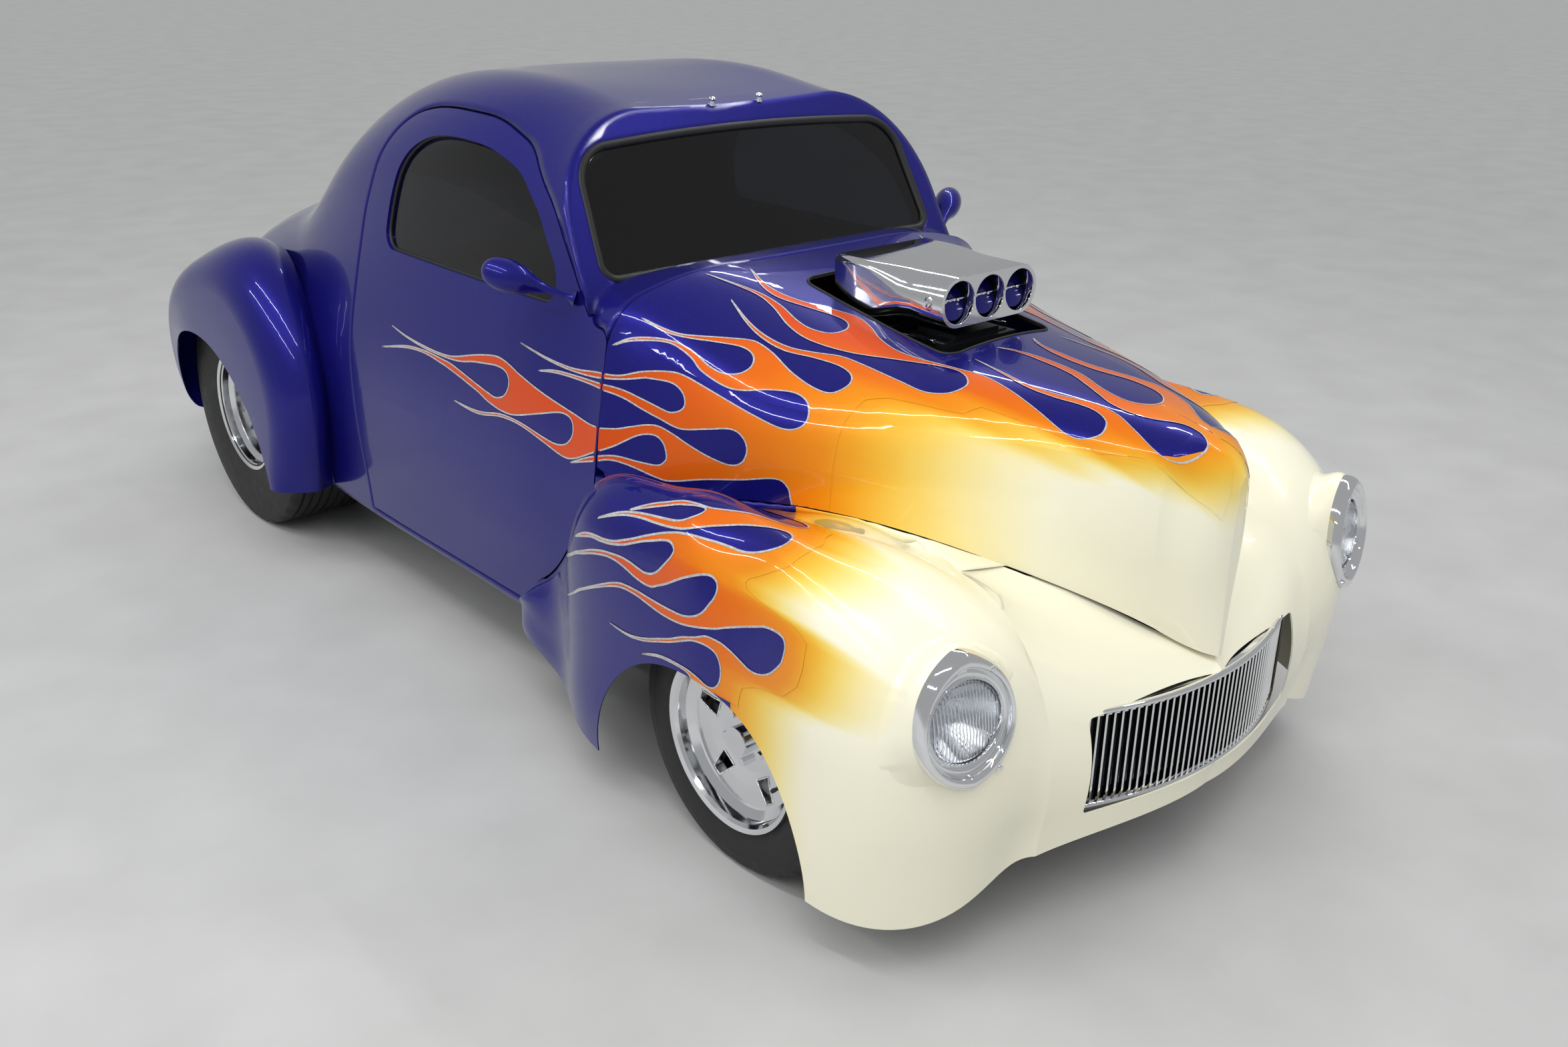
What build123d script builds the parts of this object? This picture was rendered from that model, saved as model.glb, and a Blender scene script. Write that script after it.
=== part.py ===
from build123d import *
from math import cos, sin, radians, hypot, sqrt, atan2, tan, degrees

# A chopped 1940s coupe built as a street hot rod.
# Millimetres. +X is the car's left, -Y is forward, +Z is up, z = 0 is the floor under the tyres.
# Stations called "a" are distances behind the front axle, so y = AXLE_Y + a.

AXLE_Y = -1416.8
WHEELBASE = 2642.0
SKIN = 4.0
WALL = 38.0
GAP = 5.0


def at(a):
    return AXLE_Y + a


def unit(angle):
    return (cos(radians(angle)), sin(radians(angle)))


def arc_pair(p, start_angle, q, end_angle):
    # two tangent arcs from p to q that leave and arrive along the given directions
    tp, tq = unit(start_angle), unit(end_angle)
    v = (q[0] - p[0], q[1] - p[1])
    t = (tp[0] + tq[0], tp[1] + tq[1])
    vt = v[0] * t[0] + v[1] * t[1]
    vv = v[0] * v[0] + v[1] * v[1]
    c = 2 * (1 - tp[0] * tq[0] - tp[1] * tq[1])
    if c < 1e-6:
        d = vv / (4 * (v[0] * tq[0] + v[1] * tq[1]))
    else:
        d = (-vt + sqrt(vt * vt + c * vv)) / c
    j = ((p[0] + q[0] + d * (tp[0] - tq[0])) / 2, (p[1] + q[1] + d * (tp[1] - tq[1])) / 2)
    return [one_arc(p, tp, j), one_arc_to(j, q, tq)]


def one_arc(p, tp, q):
    # arc leaving p along tp and ending at q, with the right-hand normal at its three points
    cx, cy = q[0] - p[0], q[1] - p[1]
    size = hypot(cx, cy)
    cx, cy = cx / size, cy / size
    bend = atan2(cx * tp[1] - cy * tp[0], cx * tp[0] + cy * tp[1])
    rise = size / 2 * tan(bend / 2)
    mid = ((p[0] + q[0]) / 2 - cy * rise, (p[1] + q[1]) / 2 + cx * rise)
    te = (cx * cos(-bend) - cy * sin(-bend), cx * sin(-bend) + cy * cos(-bend))
    return [p, mid, q, (tp[1], -tp[0]), (cy, -cx), (te[1], -te[0])]


def one_arc_to(p, q, tq):
    # arc leaving p and arriving at q along tq
    cx, cy = q[0] - p[0], q[1] - p[1]
    size = hypot(cx, cy)
    cx, cy = cx / size, cy / size
    bend = atan2(cx * tq[1] - cy * tq[0], cx * tq[0] + cy * tq[1])
    tp = (cx * cos(-bend) - cy * sin(-bend), cx * sin(-bend) + cy * cos(-bend))
    return one_arc(p, tp, q)


def arcs_through(points):
    # points are (u, z, direction in degrees); tangent arcs run through them in order
    out = []
    for (u0, z0, d0), (u1, z1, d1) in zip(points, points[1:]):
        out += arc_pair((u0, z0), d0, (u1, z1), d1)
    return out


def shifted(arcs, depth):
    # the same arcs moved to their right by depth
    moved = []
    for p, m, q, n0, n1, n2 in arcs:
        a = (p[0] + n0[0] * depth, p[1] + n0[1] * depth)
        b = (m[0] + n1[0] * depth, m[1] + n1[1] * depth)
        c = (q[0] + n2[0] * depth, q[1] + n2[1] * depth)
        moved.append([a, b, c, n0, n1, n2])
    return moved


def draw_arcs(arcs):
    for p, m, q, *_ in arcs:
        sag = abs((q[0] - p[0]) * (m[1] - p[1]) - (q[1] - p[1]) * (m[0] - p[0]))
        if sag < 1e-3 * hypot(q[0] - p[0], q[1] - p[1]):
            Line(p, q)
        else:
            ThreePointArc(p, m, q)


def draw_band(arcs, depth):
    # closed outline of a sheet: outer arcs, end, inner arcs, end
    inner = shifted(arcs, depth)
    draw_arcs(arcs)
    Line(arcs[-1][2], inner[-1][2])
    draw_arcs(inner)
    Line(inner[0][0], arcs[0][0])


def cross_plane(a):
    # looking along +Y: x to the right as the car's left, z up
    return Plane(origin=(0, at(a), 0), x_dir=(1, 0, 0), z_dir=(0, -1, 0))


def fan_plane(angle, a, z):
    # cross plane tipped back about a line across the car
    lean = radians(angle)
    return Plane(origin=(0, at(a), z), x_dir=(1, 0, 0), z_dir=(0, -cos(lean), sin(lean)))


# Body sections. Each row is half a section, from the sill up over the shoulder to the roof centre.
# sill, side, belt, cant and top give x (half-width), z and the direction of travel in degrees.
BODY_ROWS = [
    # a, sill_x, side_x, side_z, belt_x, belt_z, belt_dir, cant_x, cant_z, cant_dir, top_z
    [560, 684, 700, 640, 652, 1060, 100, 590, 1370, 112, 1475],
    [860, 690, 706, 660, 648, 1110, 100, 568, 1425, 124, 1532],
    [1200, 694, 712, 680, 648, 1150, 100, 552, 1478, 130, 1574],
    [1550, 696, 716, 690, 646, 1150, 101, 546, 1484, 132, 1584],
    [1900, 694, 714, 690, 636, 1110, 104, 528, 1412, 134, 1548],
    [2200, 684, 704, 690, 615, 1040, 108, 490, 1286, 138, 1420],
    [2420, 670, 692, 684, 600, 958, 114, 452, 1146, 146, 1262],
]
SILL_Z = 272.0
# Tail sections fan back about this line across the car.
FAN_A = 2600.0
FAN_Z = 200.0
TAIL_ROWS = [
    # angle, sill_x, side_x, side_r, belt_x, belt_r, belt_dir, cant_x, cant_r, cant_dir, top_r
    [0, 655, 676, 470, 580, 720, 120, 430, 866, 150, 940],
    [28, 632, 645, 440, 545, 700, 122, 415, 836, 153, 905],
    [47, 604, 615, 430, 520, 730, 124, 400, 882, 155, 962],
    [63, 574, 582, 420, 490, 745, 126, 380, 900, 156, 990],
    [80, 536, 545, 400, 460, 725, 128, 350, 872, 157, 952],
]


def half_points(row, low):
    # half a section, from the sill to the centre line of the roof
    _, sill_x, side_x, side_z, belt_x, belt_z, belt_dir, cant_x, cant_z, cant_dir, top_z = row
    points = [
        (sill_x, low, 87),
        (side_x, side_z, 92),
        (belt_x, belt_z, belt_dir),
        (cant_x, cant_z, cant_dir),
        (0.0, top_z, 180),
    ]
    return points


def draw_section(row, low, outer, inner):
    # closed outline of one body section; with an inner depth it is a band, otherwise it is filled
    rims = []
    for depth in [outer, inner]:
        if depth is not None:
            arcs = shifted(arcs_through(half_points(row, low)), -depth)
            arcs += [[(-q[0], q[1]), (-m[0], m[1]), (-p[0], p[1])] for p, m, q, *_ in reversed(arcs)]
            rims.append(arcs)
            draw_arcs(arcs)
    if inner is None:
        Line(rims[0][-1][2], rims[0][0][0])
    else:
        Line(rims[0][0][0], rims[1][0][0])
        Line(rims[0][-1][2], rims[1][-1][2])


def body_loft(outer, inner):
    with BuildPart() as shape:
        for row in BODY_ROWS:
            with BuildSketch(cross_plane(row[0])):
                with BuildLine():
                    draw_section(row, SILL_Z, outer, inner)
                make_face()
        for row in TAIL_ROWS:
            with BuildSketch(fan_plane(row[0], FAN_A, FAN_Z)):
                with BuildLine():
                    draw_section(row, 100, outer, inner)
                make_face()
        loft()
    return shape.part


# The full body without openings, and its skin as thick as the real wall.
body_solid = body_loft(0, None)
body_skin = body_loft(0, WALL)

WS_A = 716.0
WS_Z = 1182.0
WS_RAKE = 0.526

# The space above the cowl and ahead of the windshield.
with BuildPart() as notch:
    with BuildSketch(cross_plane(470)):
        with BuildLine():
            crown = arcs_through([(760, 900, 112), (655, 1072, 118), (552, 1170, 164), (0, 1206, 180)])
            draw_arcs(crown)
            draw_arcs([[(-q[0], q[1]), (-m[0], m[1]), (-p[0], p[1])] for p, m, q, *_ in reversed(crown)])
            Polyline((-760, 900), (-1000, 900), (-1000, 1900), (1000, 1900), (1000, 900), (760, 900))
        make_face()
    extrude(amount=-900)
    with BuildSketch(Plane.YZ.offset(-1100)):
        with BuildLine():
            top = 1950 - WS_Z
            down = WS_Z - 700
            Polyline(
                (at(WS_A) - down * WS_RAKE, WS_Z - down),
                (at(WS_A) + top * WS_RAKE, WS_Z + top),
                (at(2400), WS_Z + top),
                (at(2400), WS_Z - down),
                close=True,
            )
        make_face()
    extrude(amount=2200, mode=Mode.SUBTRACT)

ws_plane = Plane(origin=(0, at(WS_A), WS_Z), x_dir=(1, 0, 0), z_dir=(0, -1 / 1.13, WS_RAKE / 1.13))


def draw_windshield(grow):
    # glass outline on the windshield plane, x across and v up the slope
    a0 = (520 + grow, 0 - grow)
    a1 = (562 + grow, 42 - grow)
    a2 = (545 + grow, 240)
    a3 = (452 + grow, 332 + grow)
    a4 = (0, 348 + grow)
    Line((-a0[0], a0[1]), a0)
    RadiusArc(a0, a1, -44)
    Line(a1, a2)
    RadiusArc(a2, a3, -110)
    ThreePointArc(a3, a4, (-a3[0], a3[1]))
    RadiusArc((-a3[0], a3[1]), (-a2[0], a2[1]), -110)
    Line((-a2[0], a2[1]), (-a1[0], a1[1]))
    RadiusArc((-a1[0], a1[1]), (-a0[0], a0[1]), -44)


with BuildPart() as windshield_hole:
    with BuildSketch(ws_plane.offset(60)):
        with BuildLine():
            draw_windshield(0)
        make_face()
    extrude(amount=-160)


def side_outline(points, inset=0):
    # closed outline in side view through (a, z, direction) points, clockwise; inset shrinks it
    arcs = shifted(arcs_through([(at(a), z, turn) for a, z, turn in points]), inset)
    draw_arcs(arcs)
    Line(arcs[-1][2], arcs[0][0])


def side_prism(points, inset, reach):
    # the side outline pushed across the car's right side, from x = -reach to x = -505 less the inset
    with BuildPart() as prism:
        with BuildSketch(Plane.YZ.offset(-reach)):
            with BuildLine():
                side_outline(points, inset)
            make_face()
        extrude(amount=reach - 505 - inset)
    return prism.part


DOOR = [
    (938, 290, 112),
    (882, 367, 138),
    (822, 410, 142),
    (700, 548, 124),
    (600, 745, 93),
    (598, 1066, 90),
    (692, 1130, 54),
    (802, 1288, 55),
    (989, 1436, 36),
    (1156, 1498, 14),
    (1390, 1516, 0),
    (1595, 1492, -16),
    (1765, 1336, -66),
    (1828, 1160, -86),
    (1815, 290, -90),
]
WINDOW = [
    (868, 1116, 180),
    (820, 1172, 84),
    (884, 1286, 56),
    (989, 1376, 35),
    (1148, 1434, 12),
    (1350, 1450, 0),
    (1541, 1412, -28),
    (1634, 1318, -60),
    (1676, 1170, -88),
    (1622, 1116, 180),
]

door_prism = side_prism(DOOR, 0, 900)
door_inner_prism = side_prism(DOOR, GAP, 900)
window_prism = side_prism(WINDOW, 0, 900)

# Windshield frame and cowl top: the layer of the full body just behind the notch
deep_notch = notch.part.moved(Location((0, 34, -34)))
with BuildPart() as front_frame:
    add(body_solid)
    add(deep_notch, mode=Mode.INTERSECT)
    add(notch.part, mode=Mode.SUBTRACT)

# Rear window and trunk opening
with BuildPart() as rear_window_hole:
    with BuildSketch(Plane.XZ.offset(-at(1900))):
        with Locations((0, 1335)):
            RectangleRounded(600, 150, 60)
    extrude(amount=-700)

with BuildPart() as rear_window_size:
    with BuildSketch(Plane.XZ.offset(-at(1900))):
        with Locations((0, 1335)):
            RectangleRounded(599.4, 149.4, 59.7)
    extrude(amount=-700)

TRUNK_PLANE = Plane(origin=(0, at(3070), 950), x_dir=(1, 0, 0), z_dir=(0, 0.39, 0.921))


def trunk_prism(inset):
    # rounded outline pushed through the tail skin along the slope's normal
    with BuildPart() as prism:
        with BuildSketch(TRUNK_PLANE.offset(-420)):
            RectangleRounded(800 - 2 * inset, 800 - 2 * inset, 150 - inset)
        extrude(amount=700)
    return prism.part


wheel_well_tool = Pos(0, at(WHEELBASE), 402) * Rot(0, 90, 0) * Cylinder(446, 2000)

with BuildPart() as body_shell:
    add(body_skin)
    add(deep_notch, mode=Mode.SUBTRACT)
    add(front_frame.part)
    add(windshield_hole.part, mode=Mode.SUBTRACT)
    add(door_prism, mode=Mode.SUBTRACT)
    add(mirror(door_prism, about=Plane.YZ), mode=Mode.SUBTRACT)
    add(rear_window_hole.part, mode=Mode.SUBTRACT)
    add(trunk_prism(0), mode=Mode.SUBTRACT)
    add(wheel_well_tool, mode=Mode.SUBTRACT)
    # the step that the rear edge of the hood lies in
    with Locations((0, at(552), 1012)):
        Box(1600, 100, 520, mode=Mode.SUBTRACT)

with BuildPart() as door_right:
    add(body_skin)
    add(door_inner_prism, mode=Mode.INTERSECT)
    add(window_prism, mode=Mode.SUBTRACT)
    # the gap over the sill
    with Locations((-700, at(1370), 245)):
        Box(500, 1000, 100, mode=Mode.SUBTRACT)

with BuildPart() as trunk_lid:
    add(body_skin)
    add(trunk_prism(GAP), mode=Mode.INTERSECT)

glass_skin = body_loft(14, 18)
with BuildPart() as door_glass_right:
    add(glass_skin)
    add(side_prism(WINDOW, 0.3, 900), mode=Mode.INTERSECT)
with BuildPart() as rear_glass:
    add(glass_skin)
    add(rear_window_size.part, mode=Mode.INTERSECT)
with BuildPart() as windshield:
    with BuildSketch(ws_plane.offset(-8)):
        with BuildLine():
            draw_windshield(-1)
        make_face()
    extrude(amount=-6)

# Hood. Each row is half a section from the lower edge to the centre line.
HOOD_ROWS = [
    # a, edge_x, edge_z, edge_dir, mid_x, mid_z, mid_dir, flank_x, flank_z, flank_dir, top_z
    [594, 691, 776, 94, 654, 1050, 101, 556, 1167, 162, 1204],
    [300, 594, 766, 93, 568, 935, 104, 480, 1068, 150, 1166],
    [0, 478, 792, 92, 462, 930, 103, 378, 1044, 152, 1120],
    [-300, 300, 732, 88, 295, 905, 98, 214, 1054, 152, 1088],
    [-480, 176, 667, 80, 196, 930, 98, 150, 1030, 147, 1064],
    [-590, 92, 612, 81, 122, 925, 98, 92, 1012, 143, 1040],
    [-650, 46, 576, 82, 74, 930, 99, 52, 1002, 138, 1018],
    [-684, 22, 564, 86, 44, 915, 99, 28, 975, 132, 990],
    [-700, 6, 560, 89, 12, 905, 96, 8, 954, 128, 966],
]


def draw_hood(row, depth, low):
    _, edge_x, edge_z, edge_dir, mid_x, mid_z, mid_dir, flank_x, flank_z, flank_dir, top_z = row
    edge = (edge_x, edge_z, edge_dir)
    half = arcs_through([edge, (mid_x, mid_z, mid_dir), (flank_x, flank_z, flank_dir), (0, top_z, 180)])
    half = shifted(half, -depth)
    draw_arcs(half)
    draw_arcs([[(-q[0], q[1]), (-m[0], m[1]), (-p[0], p[1])] for p, m, q, *_ in reversed(half)])
    first = half[0][0]
    if low > 0:
        Polyline(first, (first[0], edge_z - low), (-first[0], edge_z - low), (-first[0], first[1]))
    else:
        Line(first, (-first[0], first[1]))


def hood_loft(rows, depth, low):
    with BuildPart() as shape:
        for row in rows:
            with BuildSketch(cross_plane(row[0])):
                with BuildLine():
                    draw_hood(row, depth, low)
                make_face()
        loft()
    return shape.part


with BuildPart() as hood_outside:
    add(hood_loft(HOOD_ROWS[:6], 0, 0))
    add(hood_loft(HOOD_ROWS[5:], 0, 0))

HOOD_BACK = [[614] + HOOD_ROWS[0][1:]] + HOOD_ROWS[1:6]
hood_inside = hood_loft(HOOD_BACK, SKIN, 60)

with BuildPart() as hood:
    add(hood_outside.part)
    add(hood_inside, mode=Mode.SUBTRACT)
    with BuildSketch(Plane.XY.offset(1010)):
        with Locations((0, at(196))):
            RectangleRounded(364, 490, 40)
    extrude(amount=400, mode=Mode.SUBTRACT)

# Headlamps: an egg-shaped surround with a point at its foot, and a slightly domed lens inside
LAMP = Plane(origin=(-694, at(-590), 612), x_dir=(-0.977, 0.2, -0.06), z_dir=(-0.2, -0.97, 0.12))
with BuildPart() as lamp_surround:
    with BuildSketch(LAMP.offset(-62)):
        with BuildLine():
            ThreePointArc((-108, -24), (-76, 92), (0, 136))
            ThreePointArc((0, 136), (78, 94), (112, -20))
            ThreePointArc((112, -20), (70, -112), (14, -150))
            Line((14, -150), (-2, -150))
            ThreePointArc((-2, -150), (-76, -100), (-108, -24))
        make_face()
        Circle(97, mode=Mode.SUBTRACT)
    extrude(amount=92)
    rim = lamp_surround.faces().filter_by(lambda f: f.normal_at().dot(LAMP.z_dir) > 0.99).edges()
    chamfer([edge for edge in rim if abs(edge.length - 609.5) > 5], length=6)
with BuildPart() as lamp_lens:
    with BuildSketch(LAMP.offset(-4)):
        Circle(96.5)
    extrude(amount=14)
    fillet(lamp_lens.faces().filter_by(lambda f: f.normal_at().dot(LAMP.z_dir) > 0.99).edges(), radius=9)
with BuildPart() as lamp_space:
    with BuildSketch(LAMP.offset(-140)):
        with BuildLine():
            ThreePointArc((-108, -24), (-76, 92), (0, 136))
            ThreePointArc((0, 136), (78, 94), (112, -20))
            ThreePointArc((112, -20), (70, -112), (14, -150))
            Line((14, -150), (-2, -150))
            ThreePointArc((-2, -150), (-76, -100), (-108, -24))
        make_face()
    extrude(amount=320)

# Front sheet metal. Each row is a section in the upright plane from the seam point (top_x, top_a)
# out to the lower edge (low_x, low_a); u runs outward from the seam. Stated for x > 0.
NOSE_ROWS = [
    # top_x, top_a, top_z, top_dir, crest_u, crest_z, crest_dir, side_u, side_z, side_dir, low_x, low_a, low_z
    [0, -672, 552, -20, 46, 520, -50, 73, 410, -89, 0.0, -712, 250],
    [108, -540, 622, -24, 128, 534, -40, 196, 410, -89, 150, -704, 248],
    [215, -400, 694, -24, 240, 560, -38, 305, 410, -89, 300, -672, 243],
    [380, -160, 750, -6, 360, 690, -34, 500, 430, -89, 480, -625, 230],
]
FENDER_ROWS = [
    [380, -160, 750, -6, 360, 690, -34, 500, 430, -89, 480, -625, 230],
    [425, -80, 765, 2, 385, 778, -16, 588, 510, -89, 620, -590, 178],
    [476, 5, 782, 6, 395, 826, -9, 645, 520, -90, 752, -535, 135],
    [520, 100, 774, 14, 400, 846, -3, 655, 510, -90, 828, -440, 130],
    [565, 220, 762, 22, 330, 856, 0, 598, 500, -90, 862, -290, 150],
    [610, 330, 754, 28, 240, 858, -2, 421, 500, -90, 869, 0, 150],
    [648, 430, 748, 34, 160, 838, -8, 284, 500, -90, 866, 250, 150],
    [676, 530, 736, 30, 120, 788, -18, 196, 480, -90, 852, 440, 160],
    [690, 650, 610, 26, 80, 640, -28, 150, 400, -90, 818, 560, 185],
    [694, 800, 420, 16, 50, 425, -40, 92, 310, -90, 770, 740, 225],
    [694, 930, 300, 0, 12, 297, -45, 24, 280, -90, 714, 915, 262],
]


def draw_fender(row, depth):
    _, _, top_z, top_dir, crest_u, crest_z, crest_dir, side_u, side_z, side_dir, low_x, low_a, low_z = row
    reach = hypot(low_x - row[0], low_a - row[1])
    points = [(0, top_z, top_dir), (crest_u, crest_z, crest_dir), (side_u, side_z, side_dir), (reach, low_z, -97)]
    draw_band(arcs_through(points), depth)


def fender_plane(row):
    # upright plane on the car's right, its x axis running from the seam to the lower edge
    along = Vector(-(row[10] - row[0]), row[11] - row[1], 0).normalized()
    normal = along.cross(Vector(0, 0, 1))
    return Plane(origin=(-row[0], at(row[1]), 0), x_dir=along, z_dir=normal)


def fender_loft(rows, depth):
    with BuildPart() as shape:
        for row in rows:
            with BuildSketch(fender_plane(row)):
                with BuildLine():
                    draw_fender(row, depth)
                make_face()
        loft()
    return shape.part


arch_tool = Pos(0, at(22), 150) * Rot(0, 90, 0) * Cylinder(365, 2000)

fender_sheet = fender_loft(FENDER_ROWS, SKIN)
nose_sheet = fender_loft(NOSE_ROWS, SKIN)


with BuildPart() as front_fender_right:
    add(fender_sheet)
    add(arch_tool, mode=Mode.SUBTRACT)
    add(body_solid, mode=Mode.SUBTRACT)
    add(lamp_space.part, mode=Mode.SUBTRACT)

with BuildPart() as nose_panel:
    add(nose_sheet)
    add(hood_outside.part.moved(Location((0, -4.5, -9))), mode=Mode.SUBTRACT)
    with BuildSketch(Plane.XZ.offset(-at(-500))):
        with Locations((0, 415)):
            RectangleRounded(762, 220, 14)
    extrude(amount=400, mode=Mode.SUBTRACT)
    mirror(about=Plane.YZ)

# Rear fenders. Each row is a section in a plane through the rear axle line; r is the distance
# from the axle and angle turns from straight back (0) over the top (90) to straight ahead (180).
REAR_ROWS = [
    # angle, top_x, top_r, top_dir, crest_x, crest_r, crest_dir, side_x, side_r, low_x, low_r
    [-22, 560, 470, 20, 650, 478, -12, 764, 420, 768, 250],
    [5, 560, 480, 30, 670, 500, -12, 800, 425, 804, 240],
    [35, 520, 462, 40, 680, 506, -12, 838, 415, 843, 230],
    [65, 500, 470, 42, 690, 526, -10, 862, 420, 866, 230],
    [92, 560, 540, 40, 712, 586, -8, 870, 450, 872, 230],
    [118, 640, 630, 45, 750, 684, -8, 872, 530, 873, 230],
    [140, 680, 652, 50, 768, 702, -12, 872, 560, 873, 230],
    [160, 690, 620, 50, 774, 674, -14, 870, 540, 870, 230],
    [180, 690, 560, 40, 776, 602, -18, 868, 480, 866, 230],
    [200, 690, 560, 34, 774, 584, -22, 862, 500, 860, 230],
]


def axle_plane(angle):
    # plane on the car's right: x axis outward along the axle, y axis away from it
    turn = radians(angle)
    return Plane(
        origin=(0, at(WHEELBASE), 402),
        x_dir=(-1, 0, 0),
        z_dir=Vector(-1, 0, 0).cross(Vector(0, cos(turn), sin(turn))),
    )


with BuildPart() as rear_sheet:
    for row in REAR_ROWS:
        angle, top_x, top_r, top_dir, crest_x, crest_r, crest_dir, side_x, side_r, low_x, low_r = row
        with BuildSketch(axle_plane(angle)):
            with BuildLine():
                points = [(top_x, top_r, top_dir), (crest_x, crest_r, crest_dir), (side_x, side_r, -88), (low_x, low_r, -91)]
                draw_band(arcs_through(points), SKIN)
            make_face()
    loft()

with BuildPart() as rear_fender_right:
    add(rear_sheet.part)
    with Locations(Location((0, at(WHEELBASE), 240), (0, 90, 0))):
        Cylinder(454, 2000, mode=Mode.SUBTRACT)
    with Locations((-700, at(WHEELBASE), 78)):
        Box(600, 1700, 400, mode=Mode.SUBTRACT)
    add(body_solid.moved(Location((-0.15, 0, 0.1))), mode=Mode.SUBTRACT)

# Wheels. One table row per axle end, measured outward along the axle.
FRONT_X = 700.0
REAR_X = 562.0
KINGPIN_X = 652.0


def tyre_at(x, a, radius, width):
    # a tyre as one ring: bead, bulging sidewalls, rounded shoulders and a slightly crowned tread
    bead = 190.0
    half = width / 2
    with BuildPart() as tyre:
        with BuildSketch(Plane.XY):
            with BuildLine():
                Line((-half + 14, bead), (half - 14, bead))
                ThreePointArc((half - 14, bead), (half, (bead + radius) / 2 - 4), (half - 12, radius - 14))
                ThreePointArc((half - 12, radius - 14), (half - 18, radius - 5), (half - 28, radius - 2))
                ThreePointArc((half - 28, radius - 2), (0, radius), (-half + 28, radius - 2))
                ThreePointArc((-half + 28, radius - 2), (-half + 18, radius - 5), (-half + 12, radius - 14))
                ThreePointArc((-half + 12, radius - 14), (-half, (bead + radius) / 2 - 4), (-half + 14, bead))
            make_face()
        revolve(axis=Axis.X)
    return Pos(x, at(a), radius) * tyre.part


def wheel_at(x, a, radius, width, dish, side):
    # a stepped alloy rim with a disc of trapezoid windows, lug nuts and a cap; side is 1 for the left
    half = width / 2
    face = half - dish
    with BuildPart() as wheel:
        with BuildSketch(Plane.XY):
            with BuildLine():
                Polyline(
                    (half - 12, 208),
                    (half - 2, 207),
                    (half - 6, 196),
                    (half - 14, 189.6),
                    (half - 34, 187),
                    (half - 46, 168),
                    (face + 10, 163),
                    (face + 6, 120),
                    (face - 2, 84),
                    (face - 2, 0),
                    (face - 22, 0),
                    (face - 22, 90),
                    (face - 16, 150),
                    (face - 22, 163),
                    (-half + 30, 172),
                    (-half + 12, 189),
                    (-half + 4, 206),
                    (-half + 12, 207),
                    (-half + 20, 189.6),
                    (half - 18, 189.6),
                    close=True,
                )
            make_face()
        revolve(axis=Axis.X)
        with BuildSketch(Plane.YZ.offset(face - 60)):
            with PolarLocations(127, 5, start_angle=18):
                Trapezoid(46, 58, 80, rotation=-90)
        extrude(amount=100, mode=Mode.SUBTRACT)
        with BuildSketch(Plane.YZ.offset(face - 10)):
            Circle(34)
        extrude(amount=44)
        with BuildSketch(Plane.YZ.offset(face - 10)):
            with PolarLocations(60, 5, start_angle=54):
                RegularPolygon(11, 6)
        extrude(amount=26)
    part = wheel.part
    if side < 0:
        part = mirror(part, about=Plane.YZ)
    return Pos(x, at(a), radius) * part


tyre_front_right = tyre_at(-FRONT_X, 0, 320, 152)
tyre_rear_right = tyre_at(-REAR_X, WHEELBASE, 402, 400)
wheel_front_right = wheel_at(-FRONT_X, 0, 320, 164, 58, -1)
wheel_rear_right = wheel_at(-REAR_X, WHEELBASE, 402, 386, 150, -1)
tyre_front_right = (tyre_front_right - wheel_front_right).solids().sort_by(SortBy.VOLUME)[-1]
tyre_rear_right = (tyre_rear_right - wheel_rear_right).solids().sort_by(SortBy.VOLUME)[-1]

# Steering knuckle: upright, spindle, brake disc and steering arm
with BuildPart() as knuckle_right:
    with Locations((-KINGPIN_X + 22, at(0), 330)):
        Box(26, 60, 250)
    with Locations(Location((-KINGPIN_X + 1, at(0), 320), (0, 90, 0))):
        Cylinder(34, 88)
    with Locations(Location((-KINGPIN_X - 8, at(0), 320), (0, 90, 0))):
        Cylinder(138, 22)
    with Locations((-KINGPIN_X + 26, at(75), 260)):
        Box(20, 130, 22)

# Frame rails: boxed, dropped between the axles and kicked up over the rear one
RAIL = [
    (-560, 200), (-420, 170), (1900, 170), (2180, 300), (2300, 480), (2980, 480), (3130, 430),
    (3130, 520), (3000, 570), (2260, 570), (2110, 400), (1840, 270), (-380, 270), (-560, 290),
]
with BuildPart() as frame_rails:
    with BuildSketch(Plane.YZ.offset(270)):
        with BuildLine():
            Polyline([(at(a), z) for a, z in RAIL], close=True)
        make_face()
    extrude(amount=60)
    mirror(about=Plane.YZ)

# Crossmembers between the rails: a, z, depth along the car, height
CROSS_ROWS = [
    [-480, 215, 50, 60],
    [0, 200, 120, 52],
    [760, 215, 90, 60],
    [1780, 220, 60, 70],
    [2330, 520, 50, 60],
    [3080, 492, 50, 60],
]
with BuildPart() as crossmembers:
    for a, z, deep, high in CROSS_ROWS:
        with Locations((0, at(a), z)):
            Box(539.4, deep, high)

# Front suspension: one pair of wishbones a side on a short mounting block beside the rail
with BuildPart() as wishbones:
    for z, inner, outer in [(232, 330.3, 600), (430, 360, 600)]:
        with BuildSketch(Plane.XY.offset(z - 11)):
            with BuildLine():
                Polyline(
                    (-inner, at(-150)), (-outer, at(-24)), (-outer, at(24)), (-inner, at(150)),
                    (-inner, at(110)), (-outer + 90, at(0)), (-inner, at(-110)), close=True,
                )
            make_face()
        extrude(amount=22)
    with Locations((-345.3, at(0), 325)):
        Box(30, 300, 240)
    mirror(about=Plane.YZ)

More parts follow.
